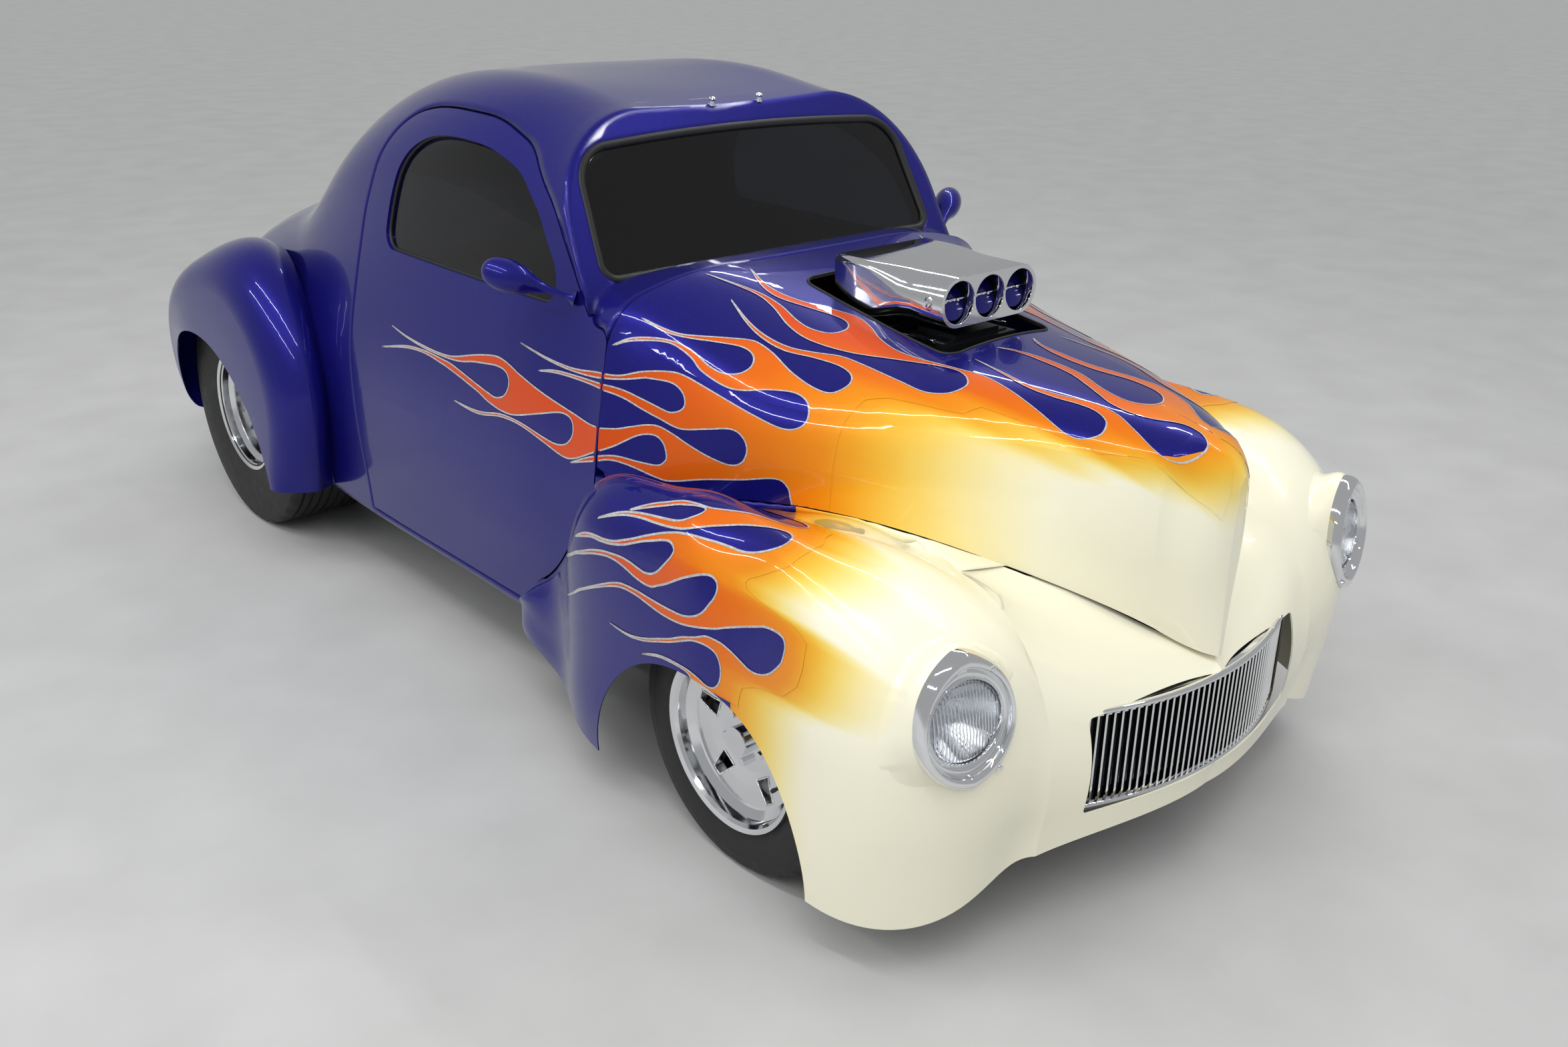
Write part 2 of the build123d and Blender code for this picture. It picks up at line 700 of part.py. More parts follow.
# Rear axle: banjo housing, tubes, and ladder bars forward to the frame
with BuildPart() as rear_axle:
    with Locations(Location((0, at(WHEELBASE), 402), (0, 90, 0))):
        Cylinder(38, 1164)
    with Locations(Location((-548, at(WHEELBASE), 402), (0, 90, 0)), Location((548, at(WHEELBASE), 402), (0, 90, 0))):
        Cylinder(136, 60)
    with Locations((0, at(WHEELBASE), 402)):
        Sphere(150)
    with Locations(Location((0, at(WHEELBASE), 402), (90, 0, 0))):
        Cylinder(110, 330)
    with Locations((235, at(2360), 345), (-235, at(2360), 345)):
        Box(30, 620, 34)

# Floor, firewall, transmission tunnel, raised rear floor and wheel tubs
with BuildPart() as floor_pan:
    with Locations((0, at(1370), 282)):
        Box(1290, 1424, 6)
    with BuildSketch(Plane.XZ.offset(-at(654))):
        with BuildLine():
            Polyline((-640, 285), (640, 285), (600, 1060), (-600, 1060), close=True)
        make_face()
    extrude(amount=-6)
    with Locations(Location((0, at(1370), 279), (90, 0, 0))):
        Cylinder(150, 1420)
        Cylinder(144, 1500, mode=Mode.SUBTRACT)
    with Locations((0, at(1370), 100)):
        Box(1300, 1500, 358, mode=Mode.SUBTRACT)
    with Locations((0, at(2078), 450)):
        Box(1280, 6, 342)
    for x in (-473, 473):
        with Locations(Location((x, at(WHEELBASE), 402), (0, 90, 0))):
            Cylinder(440, 280)
    with Locations((0, at(2610), 618)):
        Box(670, 1070, 6)
    for x in (-479, 479):
        with Locations(Location((x, at(WHEELBASE), 402), (0, 90, 0))):
            Cylinder(436, 284, mode=Mode.SUBTRACT)
    with Locations((0, at(WHEELBASE + 8), 80)):
        Box(1400, 1130, 410, mode=Mode.SUBTRACT)
    with Locations(Location((0, at(WHEELBASE), 402), (0, 90, 0))):
        Cylinder(60, 1300, mode=Mode.SUBTRACT)
    # slots that the ladder bars run through
    with Locations((235, at(2078), 345), (-235, at(2078), 345)):
        Box(44, 40, 60, mode=Mode.SUBTRACT)
    add(frame_rails.part, mode=Mode.SUBTRACT)

with BuildPart() as engine_block:
    with BuildSketch(Plane.XZ.offset(-at(-130))):
        with BuildLine():
            Polyline(
                (-110, 230), (110, 230), (120, 420), (285, 620), (215, 745), (90, 700),
                (90, 800), (-90, 800), (-90, 700), (-215, 745), (-285, 620), (-120, 420), close=True,
            )
        make_face()
    extrude(amount=-610)
    with Locations((0, at(560), 420)):
        Box(300, 160, 330)

# Supercharger case between the engine and the carburettors
with BuildPart() as blower:
    with Locations((0, at(190), 900.3)):
        Box(190, 440, 200)
    with Locations((-60, at(190), 1000.3), (60, at(190), 1000.3)):
        Box(110, 400, 60)
    with Locations((0, at(90), 1064), (0, at(270), 1064)):
        Box(240, 150, 70)
        Box(150, 120, 100)

# Scoop: polished hollow case with three round mouths
with BuildPart() as scoop:
    with BuildSketch(Plane.XZ.offset(-at(0))):
        with BuildLine():
            Polyline((-126, 1260), (126, 1260), (165, 1222), (165, 1180), (132, 1142), (-132, 1142), (-165, 1180), (-165, 1222), close=True)
        make_face()
    extrude(amount=-352)
    fillet(scoop.edges().filter_by(Axis.Y), radius=26)
    with BuildSketch(Plane.XZ.offset(-at(0))):
        with Locations((-104, 1201), (0, 1201), (104, 1201)):
            Circle(46)
    extrude(amount=-60, mode=Mode.SUBTRACT)
    with BuildSketch(Plane.XZ.offset(-at(60))):
        with Locations((0, 1201)):
            RectangleRounded(296, 92, 30)
    extrude(amount=-280, mode=Mode.SUBTRACT)
    with Locations((0, at(170), 1128.3)):
        Box(230, 290, 28)
with BuildPart() as scoop_butterflies:
    for x in [-104, 0, 104]:
        with Locations(Location((x, at(34), 1201), (62, 0, 0))):
            Cylinder(42, 3)

# Grille: bowed upright bars in a frame
GRILLE_FRONT = -735
with BuildPart() as grille:
    for i in range(41):
        x = -360 + 18 * i
        bow = 86 * (x / 372) ** 2
        with Locations((x, at(-708 + bow), 415)):
            Box(7, 24, 208)
    for x in [-376, 376]:
        with Locations((x, at(-622), 415)):
            Box(8, 30, 214)
    with BuildSketch(Plane.XY.offset(307)):
        with BuildLine():
            ThreePointArc((-374, at(-628)), (0, at(-714)), (374, at(-628)))
            Line((374, at(-628)), (374, at(-606)))
            ThreePointArc((374, at(-606)), (0, at(-692)), (-374, at(-606)))
            Line((-374, at(-606)), (-374, at(-628)))
        make_face()
    extrude(amount=8)
    with BuildSketch(Plane.XY.offset(514)):
        with BuildLine():
            ThreePointArc((-374, at(-628)), (0, at(-714)), (374, at(-628)))
            Line((374, at(-628)), (374, at(-606)))
            ThreePointArc((374, at(-606)), (0, at(-692)), (-374, at(-606)))
            Line((-374, at(-606)), (-374, at(-628)))
        make_face()
    extrude(amount=8)

# Inside: seats, dashboard, column and wheel
with BuildPart() as seats:
    for x in [-325, 325]:
        with Locations((x, at(1540), 510)):
            Box(440, 520, 140)
        with Locations(Location((x, at(1852), 800), (14, 0, 0))):
            Box(440, 120, 600)
with BuildPart() as steering_column:
    with Locations(Location((330, at(905), 928), (66, 0, 0))):
        Cylinder(24, 400)
with BuildPart() as dashboard:
    with BuildSketch(Plane.YZ.offset(-560)):
        with BuildLine():
            Polyline((at(740), 1120), (at(900), 1108), (at(930), 1060), (at(900), 930), (at(860), 930), (at(840), 1060), (at(740), 1080), close=True)
        make_face()
    extrude(amount=1120)
    add(steering_column.part, mode=Mode.SUBTRACT)
COLUMN = Plane(origin=(330, at(1105), 1010), x_dir=(1, 0, 0), z_dir=(0, 0.9135, 0.4067))
with BuildPart() as steering_wheel:
    with BuildSketch(Plane(origin=(330, at(1105), 1010), x_dir=(0, 0.9135, 0.4067), z_dir=(1, 0, 0))):
        with Locations((0, 178)):
            Circle(14)
    revolve(axis=Axis((330, at(1105), 1010), (0, 0.9135, 0.4067)))
    with BuildSketch(COLUMN.offset(-6)):
        Circle(40)
        with PolarLocations(100, 3, start_angle=90):
            Rectangle(140, 26)
    extrude(amount=12)

# Mirrors on the doors: a teardrop head that narrows into its stalk
MIRROR_FOOT = Vector(-640, at(738), 1149)
MIRROR_WAY = Vector(-172, 126, 78).normalized()
with BuildPart() as mirror_right:
    with BuildSketch(Plane(origin=MIRROR_FOOT, x_dir=MIRROR_WAY, z_dir=MIRROR_WAY.cross(Vector(0, 0, 1)))):
        with BuildLine():
            Line((0, 0), (0, 19))
            mirror_lines = arcs_through([(0, 19, -60), (58, 10, 8), (160, 40, 4), (226, 0, -90)])
            draw_arcs(mirror_lines)
            Line((226, 0), (0, 0))
        make_face()
    revolve(axis=Axis(MIRROR_FOOT, MIRROR_WAY))
    add(body_solid, mode=Mode.SUBTRACT)

with BuildPart() as tail_lamp:
    with Locations(Location((-690, at(3136), 545), (90, 0, 0))):
        Cylinder(38, 60)
    fillet(tail_lamp.faces().sort_by(Axis.Y)[-1].edges(), radius=12)
    add(rear_fender_right.part, mode=Mode.SUBTRACT)

with BuildPart() as exhaust:
    for x in [-190, 190]:
        with Locations(Location((x, at(1400), 120), (90, 0, 0))):
            Cylinder(32, 1400)
            Cylinder(29, 1402, mode=Mode.SUBTRACT)

def both_sides(shape):
    return Compound([shape, mirror(shape, about=Plane.YZ)])


NODES = {
    "body_shell": body_shell.part,
    "door_right": door_right.part,
    "trunk_lid": trunk_lid.part,
    "door_glass_right": door_glass_right.part,
    "rear_glass": rear_glass.part,
    "windshield": windshield.part,
    "hood": hood.part,
    "front_fender_right": front_fender_right.part,
    "nose_panel": nose_panel.part.solids().sort_by(SortBy.VOLUME)[-1],
    "rear_fender_right": rear_fender_right.part,
    "tyre_front_right": tyre_front_right,
    "tyre_rear_right": tyre_rear_right,
    "wheel_front_right": wheel_front_right,
    "wheel_rear_right": wheel_rear_right,
    "knuckle_right": knuckle_right.part,
    "frame_rails": frame_rails.part,
    "crossmembers": crossmembers.part,
    "wishbones": wishbones.part,
    "rear_axle": rear_axle.part,
    "floor_pan": floor_pan.part,
    "engine_block": engine_block.part,
    "blower": blower.part,
    "scoop": scoop.part,
    "scoop_butterflies": scoop_butterflies.part,
    "grille": grille.part,
    "headlight_bezels": both_sides(lamp_surround.part),
    "headlight_lenses": both_sides(lamp_lens.part),
    "seats": seats.part,
    "dashboard": dashboard.part,
    "steering_column": steering_column.part,
    "steering_wheel": steering_wheel.part,
    "mirror_right": mirror_right.part,
    "tail_lamps": both_sides(tail_lamp.part.solids().sort_by(Axis.Y)[-1]),
    "exhaust": exhaust.part,
}

for name, shape in NODES.items():
    shape.label = name
    export_step(shape, f"parts/{name}.step")
    if name.endswith("_right"):
        other = name.replace("_right", "_left")
        twin = mirror(shape, about=Plane.YZ)
        twin.label = other
        export_step(twin, f"parts/{other}.step")
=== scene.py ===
from math import atan2, ceil, cos, exp, hypot, pi, radians, sin, sqrt

import bmesh
import bpy
from mathutils import Matrix, Vector
from mathutils.bvhtree import BVHTree
from mathutils.geometry import delaunay_2d_cdt


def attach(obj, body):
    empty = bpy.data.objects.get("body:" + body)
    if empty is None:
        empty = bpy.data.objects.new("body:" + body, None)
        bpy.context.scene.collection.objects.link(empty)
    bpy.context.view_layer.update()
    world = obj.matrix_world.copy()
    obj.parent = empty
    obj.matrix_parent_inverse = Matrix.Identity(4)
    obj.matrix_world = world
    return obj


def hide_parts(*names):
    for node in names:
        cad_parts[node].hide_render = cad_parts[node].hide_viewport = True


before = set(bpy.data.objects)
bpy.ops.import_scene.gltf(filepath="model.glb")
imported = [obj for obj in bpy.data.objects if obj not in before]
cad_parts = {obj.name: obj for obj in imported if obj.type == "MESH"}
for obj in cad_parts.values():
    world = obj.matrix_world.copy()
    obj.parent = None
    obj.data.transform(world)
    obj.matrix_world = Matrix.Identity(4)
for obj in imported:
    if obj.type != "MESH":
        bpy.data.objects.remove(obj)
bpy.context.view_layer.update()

# Chassis. Two boxed rails, their crossmembers, the wishbones and the floor, welded from
# sheet steel and tube and powder coated in satin black, with a fine orange peel in the coat.

LACQUER_IOR = 1.33


def finish(name, colour, roughness=0.5, metallic=0.0, coat=0.0, coat_roughness=0.03, specular=0.5):
    # a new material with its shader, for the section that follows to add detail to
    mat = bpy.data.materials.new(name)
    mat.use_nodes = True
    for socket, value in (
        ("Base Color", (*colour, 1)), ("Roughness", roughness), ("Metallic", metallic),
        ("Coat Weight", coat), ("Coat Roughness", coat_roughness), ("Coat IOR", LACQUER_IOR),
        ("Specular IOR Level", specular),
    ):
        shader_of(mat).inputs[socket].default_value = value
    return mat


def shader_of(mat):
    return mat.node_tree.nodes["Principled BSDF"]


def node(mat, kind, values=(), **settings):
    # one node, with its settings and the unlinked inputs given as (index or name, value)
    made = mat.node_tree.nodes.new(kind)
    for key, value in settings.items():
        setattr(made, key, value)
    for key, value in values:
        made.inputs[key].default_value = value
    return made


def link(mat, source, target):
    mat.node_tree.links.new(source, target)


def feed(mat, socket, source):
    # an input of the material's shader, driven by a node's output
    link(mat, source, shader_of(mat).inputs[socket])


def position(mat):
    # the point's place in the frame, which stays with the piece when its body moves
    return node(mat, "ShaderNodeTexCoord").outputs["Object"]


def noise_of(mat, scale, detail=3.0, stretch=(1, 1, 1)):
    place = node(mat, "ShaderNodeMapping", [("Scale", stretch)])
    link(mat, position(mat), place.inputs["Vector"])
    noise = node(mat, "ShaderNodeTexNoise", [("Scale", scale), ("Detail", detail)])
    link(mat, place.outputs[0], noise.inputs["Vector"])
    return noise.outputs[0]


def bumps(mat, height, strength, distance):
    bump = node(mat, "ShaderNodeBump", [("Strength", strength), ("Distance", distance)])
    link(mat, height, bump.inputs["Height"])
    feed(mat, "Normal", bump.outputs[0])


def blend_colours(mat, driver, first, second):
    # a colour between the two, or between two sockets' colours, as the driver goes from 0 to 1
    mix = node(mat, "ShaderNodeMix", data_type="RGBA")
    link(mat, driver, mix.inputs[0])
    for socket, value in ((mix.inputs[6], first), (mix.inputs[7], second)):
        if isinstance(value, tuple):
            socket.default_value = (*value, 1)
        else:
            link(mat, value, socket)
    return mix.outputs[2]


def run(mat, driver, low, high, first=0.0, second=1.0):
    # a number that goes from first to second as the driver goes from low to high
    ramp = node(mat, "ShaderNodeMapRange", [(1, low), (2, high), (3, first), (4, second)])
    link(mat, driver, ramp.inputs[0])
    return ramp.outputs[0]


def mottle(mat, driver, low, high, first, second):
    # a colour that wanders between two shades
    feed(mat, "Base Color", blend_colours(mat, run(mat, driver, low, high), first, second))


def vary_gloss(mat, driver, low, high, first, second):
    # a roughness that wanders between two values
    feed(mat, "Roughness", run(mat, driver, low, high, first, second))


def dress(mat, *names):
    # CAD nodes shown as they are, in this material
    for name in names:
        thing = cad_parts[name]
        thing.data.materials.clear()
        thing.data.materials.append(mat)


chassis_coat = finish("chassis_powder_coat", (0.013, 0.013, 0.014), 0.38)
speckle = noise_of(chassis_coat, 420)
bumps(chassis_coat, speckle, 0.25, 0.0006)
vary_gloss(chassis_coat, speckle, 0.3, 0.75, 0.3, 0.5)
dress(chassis_coat, "frame_rails", "crossmembers", "wishbones")

undercoat = finish("floor_undercoat", (0.02, 0.02, 0.022), 0.8)
patches = noise_of(undercoat, 90, 6)
bumps(undercoat, patches, 0.6, 0.0012)
mottle(undercoat, patches, 0.35, 0.7, (0.012, 0.012, 0.014), (0.035, 0.034, 0.034))
dress(undercoat, "floor_pan")

# Engine, rear axle, knuckles and exhaust. Sand-cast iron painted dark, with the casting's
# skin showing through, and two plain steel tubes that have dulled with heat.

cast_iron = finish("cast_iron", (0.035, 0.036, 0.04), 0.62, 0.35)
casting = noise_of(cast_iron, 260, 5)
bumps(cast_iron, casting, 0.7, 0.0009)
mottle(cast_iron, casting, 0.3, 0.75, (0.02, 0.021, 0.024), (0.07, 0.07, 0.075))
dress(cast_iron, "engine_block", "rear_axle", "knuckle_left", "knuckle_right")

heated_steel = finish("heated_steel", (0.3, 0.28, 0.26), 0.4, 1.0)
heat = noise_of(heated_steel, 14, 4, (1, 0.2, 1))
mottle(heated_steel, heat, 0.35, 0.7, (0.36, 0.34, 0.32), (0.2, 0.15, 0.11))
dress(heated_steel, "exhaust")

# Body. Steel and glassfibre panels, blocked flat and sprayed in a deep indigo-blue pearl
# under thick clear lacquer: fine metal flake in the colour, a hard wet gloss on top.

PEARL_DEEP = (0.005, 0.004, 0.085)
PEARL_LIGHT = (0.016, 0.015, 0.300)
FLAKES_A_METRE = 1900.0
ROLLED_EDGE = 0.025


def texture(mat, kind, values, **settings):
    # the outputs of a texture that is laid by the point's place
    made = node(mat, kind, values, **settings)
    link(mat, position(mat), made.inputs["Vector"])
    return made.outputs


def pearl(mat):
    # flake: tiny cells that vary the blue, seen only close up
    cells = texture(mat, "ShaderNodeTexVoronoi", [("Scale", FLAKES_A_METRE)])
    split = node(mat, "ShaderNodeSeparateColor")
    link(mat, cells["Color"], split.inputs[0])
    return blend_colours(mat, split.outputs[0], PEARL_DEEP, PEARL_LIGHT)


def pearl_paint(name):
    mat = finish(name, PEARL_DEEP, 0.32, 0.5, 1.0, 0.02, 0.1)
    feed(mat, "Base Color", pearl(mat))
    return mat


blue_pearl = pearl_paint("blue_pearl_lacquer")
dress(blue_pearl, "trunk_lid", "rear_fender_left", "rear_fender_right", "door_left", "door_right")
dress(blue_pearl, "mirror_left", "mirror_right")

# the shell's edges round the windshield are rolled over
shell_pearl = pearl_paint("shell_pearl_lacquer")
rolled = node(shell_pearl, "ShaderNodeBevel", [("Radius", ROLLED_EDGE)], samples=8)
feed(shell_pearl, "Normal", rolled.outputs[0])
feed(shell_pearl, "Coat Normal", rolled.outputs[0])
dress(shell_pearl, "body_shell")

# Front sheet metal and its flames. Cream at the nose runs through yellow to orange at the
# heads of the blue bays, all airbrushed over the pressed and welded panels, and the licks
# are edged with a hand-pulled grey stripe.

AXLE_Y = -1.4168


def at(a):
    # a station a metres behind the front axle, in the frame's y
    return AXLE_Y + a


# Each entry of the two tables is (a, angle) along the edge of the flames on the right side,
# from sill to centre on the hood and from crown to arch on the fender: a in mm behind the
# axle, the angle in degrees above level round the panel's own long axis, and a 1 after them
# at a sharp tip.

HOOD_FLAMES = [
    (61, -2.1), (83, 1.7), (92, 4.9), (100, 7.8), (129, 9.2), (211, 6.8), (306, 4.5), (393, 2.1),
    (439, 1.9), (523, 3.1), (568, 3.3), (610, 2.2), (703, -0.2, 1), (622, 2.8), (559, 4.3),
    (496, 4.2), (442, 4.5), (423, 5.7), (419, 7), (433, 9.5), (461, 10.7), (504, 9.7), (563, 6.1),
    (626, 3.4), (688, 1), (736, 0.4), (820, 1.7), (916, 3.1), (1006, 3.1), (1090, 1.8), (1150, 1.5),
    (1235, 2, 1), (1150, 1.9), (1090, 2.3), (1006, 3.6), (916, 3.6), (820, 2.6), (766, 2.3),
    (727, 3.1), (704, 5), (701, 7.1), (715, 8.8), (757, 9.1), (838, 7.2), (940, 4.8), (1000, 4.4),
    (1066, 5.1), (1114, 6.2), (1150, 6.8), (1200, 7.6), (1250, 8.3), (1300, 8.9), (1400, 9.6),
    (1500, 9), (1638, 6.8, 1), (1500, 9.4), (1400, 10.1), (1300, 9.9), (1250, 9.6), (1150, 8.1),
    (1066, 6.9), (1030, 6.7), (994, 7.9), (978, 10.1), (982, 12.1), (1003, 13.2), (1042, 13.4),
    (1090, 12.9), (1150, 12.2), (1200, 11.3), (1250, 10.8), (1322, 10.6), (1400, 10.7),
    (1500, 11.4), (1587, 12.6, 1), (1500, 11.6), (1400, 11.1), (1322, 11), (1250, 11.5),
    (1150, 13.6), (1090, 14.7), (1036, 15.3), (988, 14.8), (928, 13.4), (820, 11.4), (700, 9.9),
    (628, 9.2), (565, 9.8), (527, 11), (488, 12.3), (454, 12.8), (410, 12.1), (360, 10.9),
    (301, 9.8), (243, 9.4), (212, 10.9), (204, 14.1), (222, 16.6), (256, 17.3), (322, 15.5),
    (393, 13.8), (456, 14.5), (506, 15.4), (560, 16.7), (627, 17.1), (724, 17), (796, 16.6),
    (856, 15.8, 1), (796, 17), (724, 17.5), (624, 17.9), (561, 18.1), (509, 17.4), (452, 16.6),
    (427, 16.5), (401, 17.6), (392, 19.2), (406, 21.4), (442, 22.6), (504, 21.9), (512, 21.7),
    (570, 19.8), (633, 18.8), (724, 18.3), (820, 18.6), (940, 19.9, 1), (820, 18.9), (724, 18.8),
    (633, 19.8), (570, 20.5), (518, 22.8), (460, 24.5), (416, 24.9), (334, 23.8), (211, 21.9),
    (131, 21.1), (94, 22.7), (86, 25.6), (104, 28.7), (142, 29.8), (199, 28.4), (253, 26.3),
    (302, 25.7), (374, 27), (412, 28.8), (446, 29.8), (479, 30.2), (514, 29.5), (560, 27.7),
    (586, 25.8, 1), (559, 28.3), (513, 30.1), (471, 30.8), (437, 30.6), (411, 30.1), (368, 28.7),
    (323, 28.2), (286, 29.5), (275, 32), (294, 34.6), (332, 35.5), (394, 34.1), (431, 33.1),
    (470, 32.3), (509, 32), (560, 32.7, 1), (509, 32.5), (470, 32.8), (431, 34), (379, 36.1),
    (336, 37.8), (310, 38.1), (260, 37), (186, 34.2), (113, 32.6), (70, 33.2), (55, 36.9),
    (72, 39.9), (114, 41.1), (177, 40.4), (245, 39), (312, 39.7), (377, 41.9), (461, 46.1, 1),
    (378, 42.5), (312, 40.7), (246, 40.4), (189, 41.9), (132, 44.1), (73, 44.4), (-28, 44),
    (-96, 43.9), (-140, 46.7), (-156, 51.8), (-139, 55.2), (-106, 56.7), (-62, 55.6), (27, 51.2),
    (124, 46.7), (222, 45), (296, 46.3), (380, 50.1), (451, 51.5), (574, 49.9, 1), (450, 52.3),
    (374, 51.8), (303, 49.4), (256, 48.7), (212, 50.1), (197, 53.7), (212, 56.8), (249, 57.7),
    (319, 56), (398, 54.1), (463, 55.4), (546, 60, 1), (462, 56.6), (395, 56.2), (334, 57.7),
    (270, 60.4), (219, 61.7), (170, 60), (120, 56.8), (62, 54.8), (0, 55.1), (-80, 57.1),
    (-160, 59), (-231, 57.9), (-315, 55), (-377, 52.5), (-406, 51.9), (-434, 53.3), (-457, 57.6),
    (-456, 61.9), (-442, 64.7), (-411, 66), (-374, 65.2), (-322, 63.1), (-258, 62.3), (-177, 64.2),
    (-95, 66.2, 1), (-176, 64.9), (-256, 63.6), (-321, 65.1), (-373, 68), (-413, 69.8),
    (-456, 69.5), (-498, 67.3), (-551, 64.5), (-580, 64.6), (-605, 67.2), (-624, 71.8),
    (-632, 75.8), (-633, 78.3), (-630, 80.5), (-622, 82.3), (-610, 83.9), (-596, 85), (-580, 85.2),
    (-563, 84.5), (-543, 82.2), (-530, 80.1), (-515, 77.9), (-498, 76), (-477, 74.6), (-454, 73.6),
    (-431, 73.5), (-410, 74), (-387, 75.5), (-367, 76.8), (-332, 79.1), (-301, 81.1), (-271, 82.5),
    (-235, 83.2), (-196, 83.3), (-156, 83.3), (-125, 82.7), (-105, 81.5), (-84, 79.8, 1),
    (-103, 82.3), (-125, 83.8), (-156, 85.3), (-191, 86.2), (-227, 86.5), (-262, 86.2),
    (-293, 85.5), (-323, 83.8), (-354, 81.8), (-381, 80.7), (-407, 80.2), (-429, 80.3),
    (-447, 81.4), (-462, 83.3), (-473, 86), (-478, 88.2), (-479, 90),
]

FENDER_FLAMES = [
    (154, 95.9), (143, 88.3), (100, 84.1), (46, 81.4), (-7, 79.8), (-54, 78.8), (-84, 77.6),
    (-107, 75.8), (-115, 73.9), (-111, 71.5), (-88, 69.5), (-50, 67.9), (-15, 66.3), (27, 63.7),
    (70, 61.2), (108, 60.3), (147, 59.3), (185, 57.1), (224, 54.6), (274, 50.2, 1), (220, 53.6),
    (181, 55.9), (147, 57.8), (120, 58.8), (100, 59.7), (79, 60.3), (72, 59.5), (75, 57.8),
    (85, 56.1), (100, 54.4), (120, 53.3), (147, 52.7), (181, 52.1), (220, 51.3), (258, 50.2),
    (300, 48.3), (362, 44.2, 1), (293, 47.8), (258, 49.1), (220, 49.9), (181, 50.3), (143, 50.8),
    (112, 51.4), (85, 52.3), (54, 54.4), (27, 56.8), (0, 59), (-30, 61.2), (-69, 63.3),
    (-107, 65.4), (-131, 66), (-146, 65.4), (-156, 64.2), (-160, 62.2), (-156, 60.3), (-142, 58.5),
    (-123, 56.9), (-96, 55.3), (-69, 54.4), (-38, 54), (-7, 53.4), (27, 52.4), (66, 51.4),
    (97, 50.6), (131, 49.3), (162, 47.7), (197, 45.6), (227, 43.6), (258, 41.8), (289, 40.2),
    (324, 39.3), (354, 39.1), (385, 38.7), (416, 37.7), (452, 35.6, 1), (412, 36.9), (374, 38.1),
    (339, 38.3), (300, 39), (258, 40.5), (227, 42.3), (197, 44.1), (162, 45.8), (139, 46.9),
    (116, 47.5), (102, 47), (93, 45.8), (98, 43.8), (108, 42.1), (120, 40.3), (135, 38.2),
    (154, 36.6), (177, 35.9), (200, 36.1), (227, 36.6), (254, 36.8), (277, 36.6), (300, 36.2),
    (331, 35.6), (374, 34.1), (412, 32.2), (451, 30.3), (451, 30.3), (481, 28.3), (505, 26.9),
    (538, 25, 1), (505, 26.3), (481, 27.7), (451, 29.6), (412, 31.3), (374, 33), (331, 34.4),
    (300, 34.9), (270, 34.7), (239, 33.9), (212, 33), (177, 32.4), (150, 32.8), (131, 34.1),
    (108, 35.6), (85, 37.4), (58, 39.6), (31, 41.5), (4, 43.4), (-15, 44.4), (-30, 44.4),
    (-41, 43.4), (-44, 41.5), (-40, 39.1), (-30, 36.6), (-17, 33.6), (-2, 31.5), (20, 29.8),
    (46, 28.8), (77, 28.5), (116, 28.4), (162, 28.5), (200, 28.7), (239, 28.5), (266, 28),
    (300, 26.3), (331, 24.2), (362, 21.9), (393, 19.5), (424, 16.9), (451, 14.6), (489, 10.1),
    (549, 3.2, 1), (489, 9.6), (447, 14.2), (420, 16.6), (393, 18.8), (362, 21.1), (331, 23.2),
    (300, 25.1), (270, 26.5), (239, 27.1), (200, 27), (162, 26.3), (131, 25.7), (100, 25.4),
    (70, 25.5), (39, 26), (8, 27.1), (-23, 28.5), (-54, 30.2), (-84, 32.4), (-111, 34.2),
    (-138, 35.9), (-165, 37.4), (-188, 38.6), (-211, 39), (-234, 38.9), (-250, 38.1), (-258, 36.2),
    (-258, 33.6), (-254, 30.7), (-242, 28.1), (-227, 25.6), (-208, 23.6), (-184, 22.4),
    (-161, 22.4), (-138, 23.5), (-107, 25.2), (-77, 26.3), (-54, 26.4), (-30, 26), (0, 23.7),
    (43, 21), (81, 17.9), (120, 15.3), (158, 12.7), (189, 10.9), (224, 9.5), (258, 8.9),
    (314, 9, 1), (258, 8.5), (224, 8.8), (189, 10), (158, 11.6), (120, 14.1), (81, 16.6),
    (43, 19.5), (12, 21.8), (-15, 22.7), (-38, 22.8), (-59, 22.1), (-72, 20.1), (-79, 17.1),
    (-80, 13.8), (-75, 10.4), (-63, 7.8), (-48, 6.8), (-32, 7.1), (-15, 8.2), (4, 9), (27, 9.5),
    (50, 9.5), (81, 9.3), (112, 8.6), (143, 7.1), (182, 4.3, 1), (143, 6.5), (112, 7.9), (81, 8.5),
    (50, 8.7), (27, 8.5), (12, 7.4), (4, 4.8),
]

# where the first blue starts at each angle: (angle, a)
HOOD_HEADS = [
    (-90, 45), (28, 55), (35, 42), (38, 0), (42, -150), (47, -175), (49.5, -300), (51.5, -425),
    (56, -470), (60, -510), (63, -600), (68, -640), (80, -645), (84, -636), (88, -600), (90, -585),
]
FENDER_HEADS = [
    (-90, -90), (8, -90), (14, -100), (18, -150), (20, -225), (26, -262), (32, -270), (40, -268),
    (42.5, -230), (45, -80), (48, -60), (51, -100), (56, -160), (62, -172), (68, -166), (73, -135),
    (78, -118), (82, -60), (86, 60), (90, 110),
]
# the long axis of each panel, (x, z) in metres, and the mm that a degree round it takes up
HOOD_AXIS, HOOD_SCALE = (0.0, 0.76), 12.0
FENDER_AXIS, FENDER_SCALE = (0.56, 0.48), 5.6
# where the hood ends and the door starts, with the shut line between them, in mm
HOOD_END, DOOR_START = 593.4, 606.3

